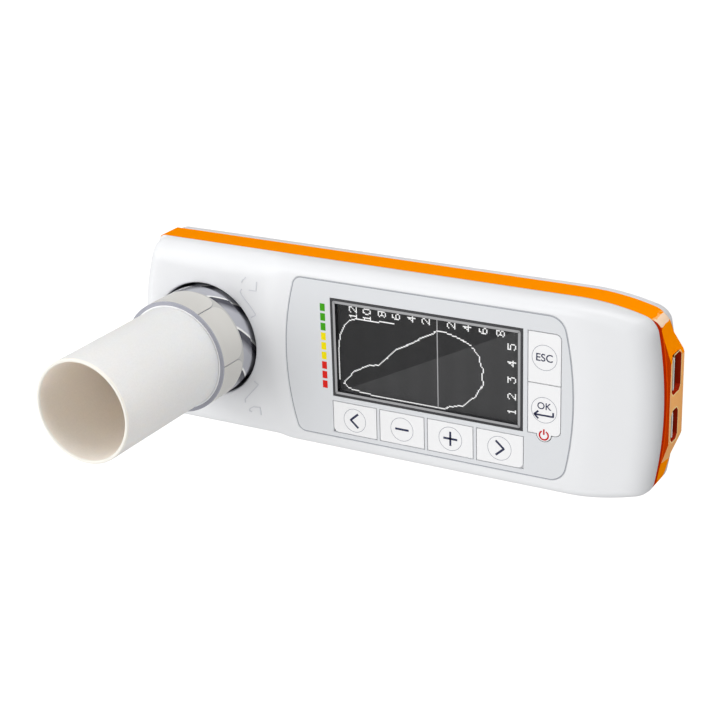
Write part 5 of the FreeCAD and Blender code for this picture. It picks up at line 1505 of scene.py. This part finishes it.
@dataclass
class Display:
    """What the display shows: numbers, two traces and a cursor, drawn on its own pixels.

    Attributes:
        pixel: Size of a pixel.
        bezel_edge: How far the bezel covers the display on each side.
        glyphs: Strokes of each digit on a grid five wide and seven high.
        flow_numbers: Numbers along the top edge with their places on X.
        volume_numbers: Numbers down the right edge with their places on Y.
        loop: The flow and volume loop, as places on the display.
        volume_trace: The second trace.
    """
    pixel: float = 0.36
    bezel_edge: float = 1.6
    flow_numbers: tuple = (("12", -8.5), ("10", -4.1), ("8", 0.4), ("6", 4.9), ("4", 9.5), ("2", 13.9),
                           ("2", 21.5), ("4", 26.2), ("6", 30.9), ("8", 35.8))
    volume_numbers: tuple = (("5", 12.8), ("4", 8.1), ("3", 3.5), ("2", -1.2), ("1", -5.7))
    number_top: float = 17.0
    number_right: float = 40.3
    cursor_x: float = 17.4
    cursor_width: float = 0.3
    loop: tuple = (
        (-12.0, -6.0), (-8.6, -2.1), (-4.5, 0.3), (-0.7, 1.2), (1.3, 3.1), (5.1, 6.8), (9.8, 9.3),
        (12.7, 11.2), (17.4, 13.9), (19.9, 14.0), (23.7, 13.0), (27.0, 11.7), (28.6, 9.9), (30.0, 8.3),
        (30.1, 6.3), (31.1, 5.1), (30.6, 3.7), (30.9, 0.8), (29.7, -1.1), (28.5, -3.1), (24.9, -6.3),
        (21.3, -7.2), (18.4, -8.8), (17.0, -8.8), (6.0, -8.4), (0.5, -8.3), (-5.5, -8.0), (-10.0, -7.3),
        (-12.0, -6.0),
    )
    volume_trace: tuple = (
        (-13.9, -5.0), (-13.6, 0.1), (-13.3, 3.8), (-12.5, 8.2), (-11.1, 11.2), (-9.1, 13.1), (-7.3, 13.7),
        (-2.3, 13.8), (4.5, 14.0),
    )
    glyphs: dict = field(default_factory=lambda: {
        "0": [[(1, 6), (3, 6), (4, 4), (4, 2), (3, 0), (1, 0), (0, 2), (0, 4), (1, 6)]],
        "1": [[(1, 5), (2, 6), (2, 0)], [(1, 0), (3, 0)]],
        "2": [[(0, 5), (1, 6), (3, 6), (4, 5), (4, 4), (0, 0), (4, 0)]],
        "3": [[(0, 6), (4, 6), (2, 4), (3, 4), (4, 3), (4, 1), (3, 0), (1, 0), (0, 1)]],
        "4": [[(3, 0), (3, 6), (0, 2), (4, 2)]],
        "5": [[(4, 6), (0, 6), (0, 4), (3, 4), (4, 3), (4, 1), (3, 0), (1, 0), (0, 1)]],
        "6": [[(3, 6), (1, 6), (0, 4), (0, 1), (1, 0), (3, 0), (4, 1), (4, 2), (3, 3), (0, 3)]],
        "8": [[(1, 6), (3, 6), (4, 5), (3, 3), (4, 1), (3, 0), (1, 0), (0, 1), (1, 3), (0, 5), (1, 6)],
              [(1, 3), (3, 3)]],
    })

    def number(self, text: str, top: float, right: float) -> list[np.ndarray]:
        """Strokes of a number that reads up the display, turned a quarter turn.

        Args:
            text: Its digits.
            top: Where its last digit ends on Y.
            right: Where its foot stands on X.

        Returns:
            One array of points per stroke. A digit's width runs along +Y and its height along -X.
        """
        strokes = []
        for index, digit in enumerate(reversed(text)):
            start = top - (5 * index + 4) * self.pixel
            for stroke in self.glyphs[digit]:
                grid = np.array(stroke, float) * self.pixel
                strokes.append(np.stack([right - grid[:, 1], start + grid[:, 0]], 1))
        return strokes

    def lit(self, strokes: list[np.ndarray]) -> np.ndarray:
        """Centres of the pixels that strokes pass: one for each step along a run's longer side."""
        runs = []
        for stroke in strokes:
            for start, end in zip(stroke[:-1] / self.pixel, stroke[1:] / self.pixel):
                count = int(np.ceil(np.abs(end - start).max())) + 1
                runs.append(start + (end - start) * np.linspace(0.0, 1.0, count)[:, None])
        cells = np.unique(np.round(np.vstack(runs)), axis=0) * self.pixel
        inset = self.bezel_edge + self.pixel / 2
        least = np.array(low("display_bezel")[:2]) + inset
        most = np.array(high("display_bezel")[:2]) - inset
        return np.clip(cells, least, most)

    def blocks(self, centres: np.ndarray, level: float, rise: float) -> tuple[np.ndarray, np.ndarray]:
        """A small square block on each centre, by adding eight corner offsets to every centre."""
        half = self.pixel * 0.44
        corners = np.array([[-half, -half, 0], [half, -half, 0], [half, half, 0], [-half, half, 0],
                            [-half, -half, rise], [half, -half, rise], [half, half, rise],
                            [-half, half, rise]])
        bases = np.hstack([centres, np.full((len(centres), 1), level)])
        points = (bases[:, None, :] + corners[None, :, :]).reshape(-1, 3)
        sides = np.array([[3, 2, 1, 0], [4, 5, 6, 7], [0, 1, 5, 4], [1, 2, 6, 5], [2, 3, 7, 6], [3, 0, 4, 7]])
        faces = (sides[None, :, :] + 8 * np.arange(len(centres))[:, None, None]).reshape(-1, 4)
        return points, faces

    def build(self) -> None:
        """Draw the numbers, the traces and the cursor on the display glass."""
        level = high("lcd_glass")[2] + 0.01
        foot = 7 * self.pixel / 2
        strokes = [np.array(self.loop), np.array(self.volume_trace)]
        for text, x in self.flow_numbers:
            strokes += self.number(text, self.number_top, x + foot)
        for text, y in self.volume_numbers:
            strokes += self.number(text, y + 2.5 * self.pixel, self.number_right)
        points, faces = self.blocks(self.lit(strokes), level, 0.02)
        piece_of("display_traces", points, faces, "case", "display_dark", Finish.PIXEL, smooth=False)
        bottom, top = low("lcd_glass")[1] + 0.3, high("lcd_glass")[1] - 0.3
        line = polyline([(self.cursor_x, bottom), (self.cursor_x, top)], top - bottom)
        piece_of("display_cursor", *strip(line, self.cursor_width, level, 0.02, False), "case",
                 "display_dark",
                 Finish.CURSOR, smooth=False)


# The printed face

@dataclass
class Face:
    """What is printed on the keypad overlay and round the display.

    Attributes:
        outline: Width of the grey lines.
        ink: Thickness of the print.
    """
    outline: float = 0.26
    ink: float = 0.015
    scale_left: float = -18.2
    scale_width: float = 1.55
    scale_top: float = 16.95
    scale_height: float = 2.2
    scale_pitch: float = 2.856
    segments_each: int = 3
    bezel_line: float = 1.0

    def build(self) -> None:
        """Print the scale, the edge line and the display's frame line."""
        level = high("keypad_overlay")[2]
        colours = (("green", Finish.GREEN), ("yellow", Finish.YELLOW), ("red", Finish.RED))
        for group, (word, finish) in enumerate(colours):
            plates = []
            for step in range(self.segments_each):
                top = self.scale_top - (group * self.segments_each + step) * self.scale_pitch
                outline = rounded_box(self.scale_left, top - self.scale_height,
                                      self.scale_left + self.scale_width,
                                      top, (0.0,) * 4)
                plates.append(plate(outline, level, self.ink))
            piece_of(f"scale_{word}", *joined(plates), "case", "overlay_grey", finish, smooth=False)
        left, bottom = low("display_bezel")[:2]
        right, top = high("display_bezel")[:2]
        inset = 1.05
        path = np.vstack([rounded_box(left + inset, bottom + inset, right - inset, top - inset,
                                      (0.15,) * 4, 4)])
        piece_of("display_frame_line", *strip(path, self.bezel_line * 0.7, level, self.ink, True), "case",
                 "bezel_dark", Finish.BEZEL_LINE, smooth=False)
        edge = np.vstack([run[:-1] for run, weight in Overlay().runs(-0.2)])
        piece_of("overlay_edge", *strip(edge, self.outline, level, self.ink, True), "case", "overlay_grey",
                 Finish.LINE, smooth=False)


# Keys

class Glyph(Enum):
    """What a key carries."""
    BACK = "back"
    MINUS = "minus"
    PLUS = "plus"
    FORWARD = "forward"
    ESC = "esc"
    OK = "ok"


@dataclass
class Key:
    """The print on one key: a ring and its sign.

    Attributes:
        node: The key's CAD node.
        glyph: Its sign.
        middle: Centre of the ring.
        radius: Radius of the ring.
    """
    node: str
    glyph: Glyph
    middle: tuple
    radius: float = 3.45
    ring: float = 0.14
    stroke: float = 0.62
    ink: float = 0.015
    power: tuple = (48.9, -10.1)

    def signs(self, level: float) -> list[tuple[np.ndarray, list]]:
        """The strokes of the key's sign.

        Args:
            level: Height of the key's face.

        Returns:
            One mesh per stroke.
        """
        x, y = self.middle
        arm = 2.1
        bars = {
            Glyph.BACK: [[(x + 1.1, y + arm), (x - 1.3, y), (x + 1.1, y - arm)]],
            Glyph.FORWARD: [[(x - 1.1, y + arm), (x + 1.3, y), (x - 1.1, y - arm)]],
            Glyph.MINUS: [[(x - arm, y), (x + arm, y)]],
            Glyph.PLUS: [[(x - arm, y), (x + arm, y)], [(x, y - arm), (x, y + arm)]],
            Glyph.OK: [[(x + 2.6, y - 0.3), (x + 2.6, y - 1.5), (x - 2.6, y - 1.5)],
                       [(x - 1.6, y - 0.4), (x - 2.8, y - 1.5), (x - 1.6, y - 2.6)]],
            Glyph.ESC: [],
        }
        width = self.stroke if self.glyph is not Glyph.OK else 0.5
        meshes = [strip(polyline(points, 0.15), width, level, self.ink, False) for points in bars[self.glyph]]
        if self.glyph is Glyph.ESC:
            meshes.append(lettering("ESC", 3.0, self.middle, level, self.ink, 0.03))
        if self.glyph is Glyph.OK:
            meshes.append(lettering("OK", 2.75, (x + 0.1, y + 1.15), level, self.ink, 0.02))
        return meshes

    def build(self) -> None:
        """Print the ring and the sign."""
        level = high(self.node)[2]
        body = f"{self.node}_body"
        ring = strip(ring_path(self.middle, self.radius, count=96), self.ring, level, self.ink, True)
        piece_of(f"{self.node}_ring", *ring, body, "key_white", Finish.LINE, smooth=False)
        piece_of(f"{self.node}_sign", *joined(self.signs(level)), body, "key_white", Finish.NAVY,
                 smooth=False)
        if self.glyph is Glyph.OK:
            x, y = self.power
            circle = strip(ring_path(self.power, 1.25, 118.0, 422.0, 40), 0.44, level, self.ink, False)
            bar = strip(polyline([(x, y + 1.75), (x, y + 0.2)], 0.3), 0.44, level + self.ink, self.ink, False)
            piece_of("power_sign", *joined([circle, bar]), body, "key_white", Finish.RED_INK, smooth=False)


KEYS = (
    Key("key_back", Glyph.BACK, (-8.3, -16.5)),
    Key("key_minus", Glyph.MINUS, (6.55, -16.4)),
    Key("key_plus", Glyph.PLUS, (21.4, -16.35)),
    Key("key_forward", Glyph.FORWARD, (36.05, -16.3)),
    Key("key_esc", Glyph.ESC, (48.9, 11.85), 3.5),
    Key("key_ok", Glyph.OK, (48.9, -2.9), 3.6),
)


def main() -> None:
    """Build the studio and the device, piece by piece."""
    logging.basicConfig(level=logging.INFO)
    studio = Studio()
    studio.build()
    Case().build()
    FrontShell().build()
    Marks().build()
    Turbine().build()
    Mouthpiece().build()
    Display().build()
    Face().build()
    for key in KEYS:
        key.build()
    studio.only("end side", ["middle_band_smooth", "port_edge_glints", "port_rim_highlights", "card_tube", "turbine_barrel",
                             "turbine_socket", "socket_ring", "socket_lip_highlight", "grip_pads", "grip_edge_shades"])


if __name__ == "__main__":
    main()
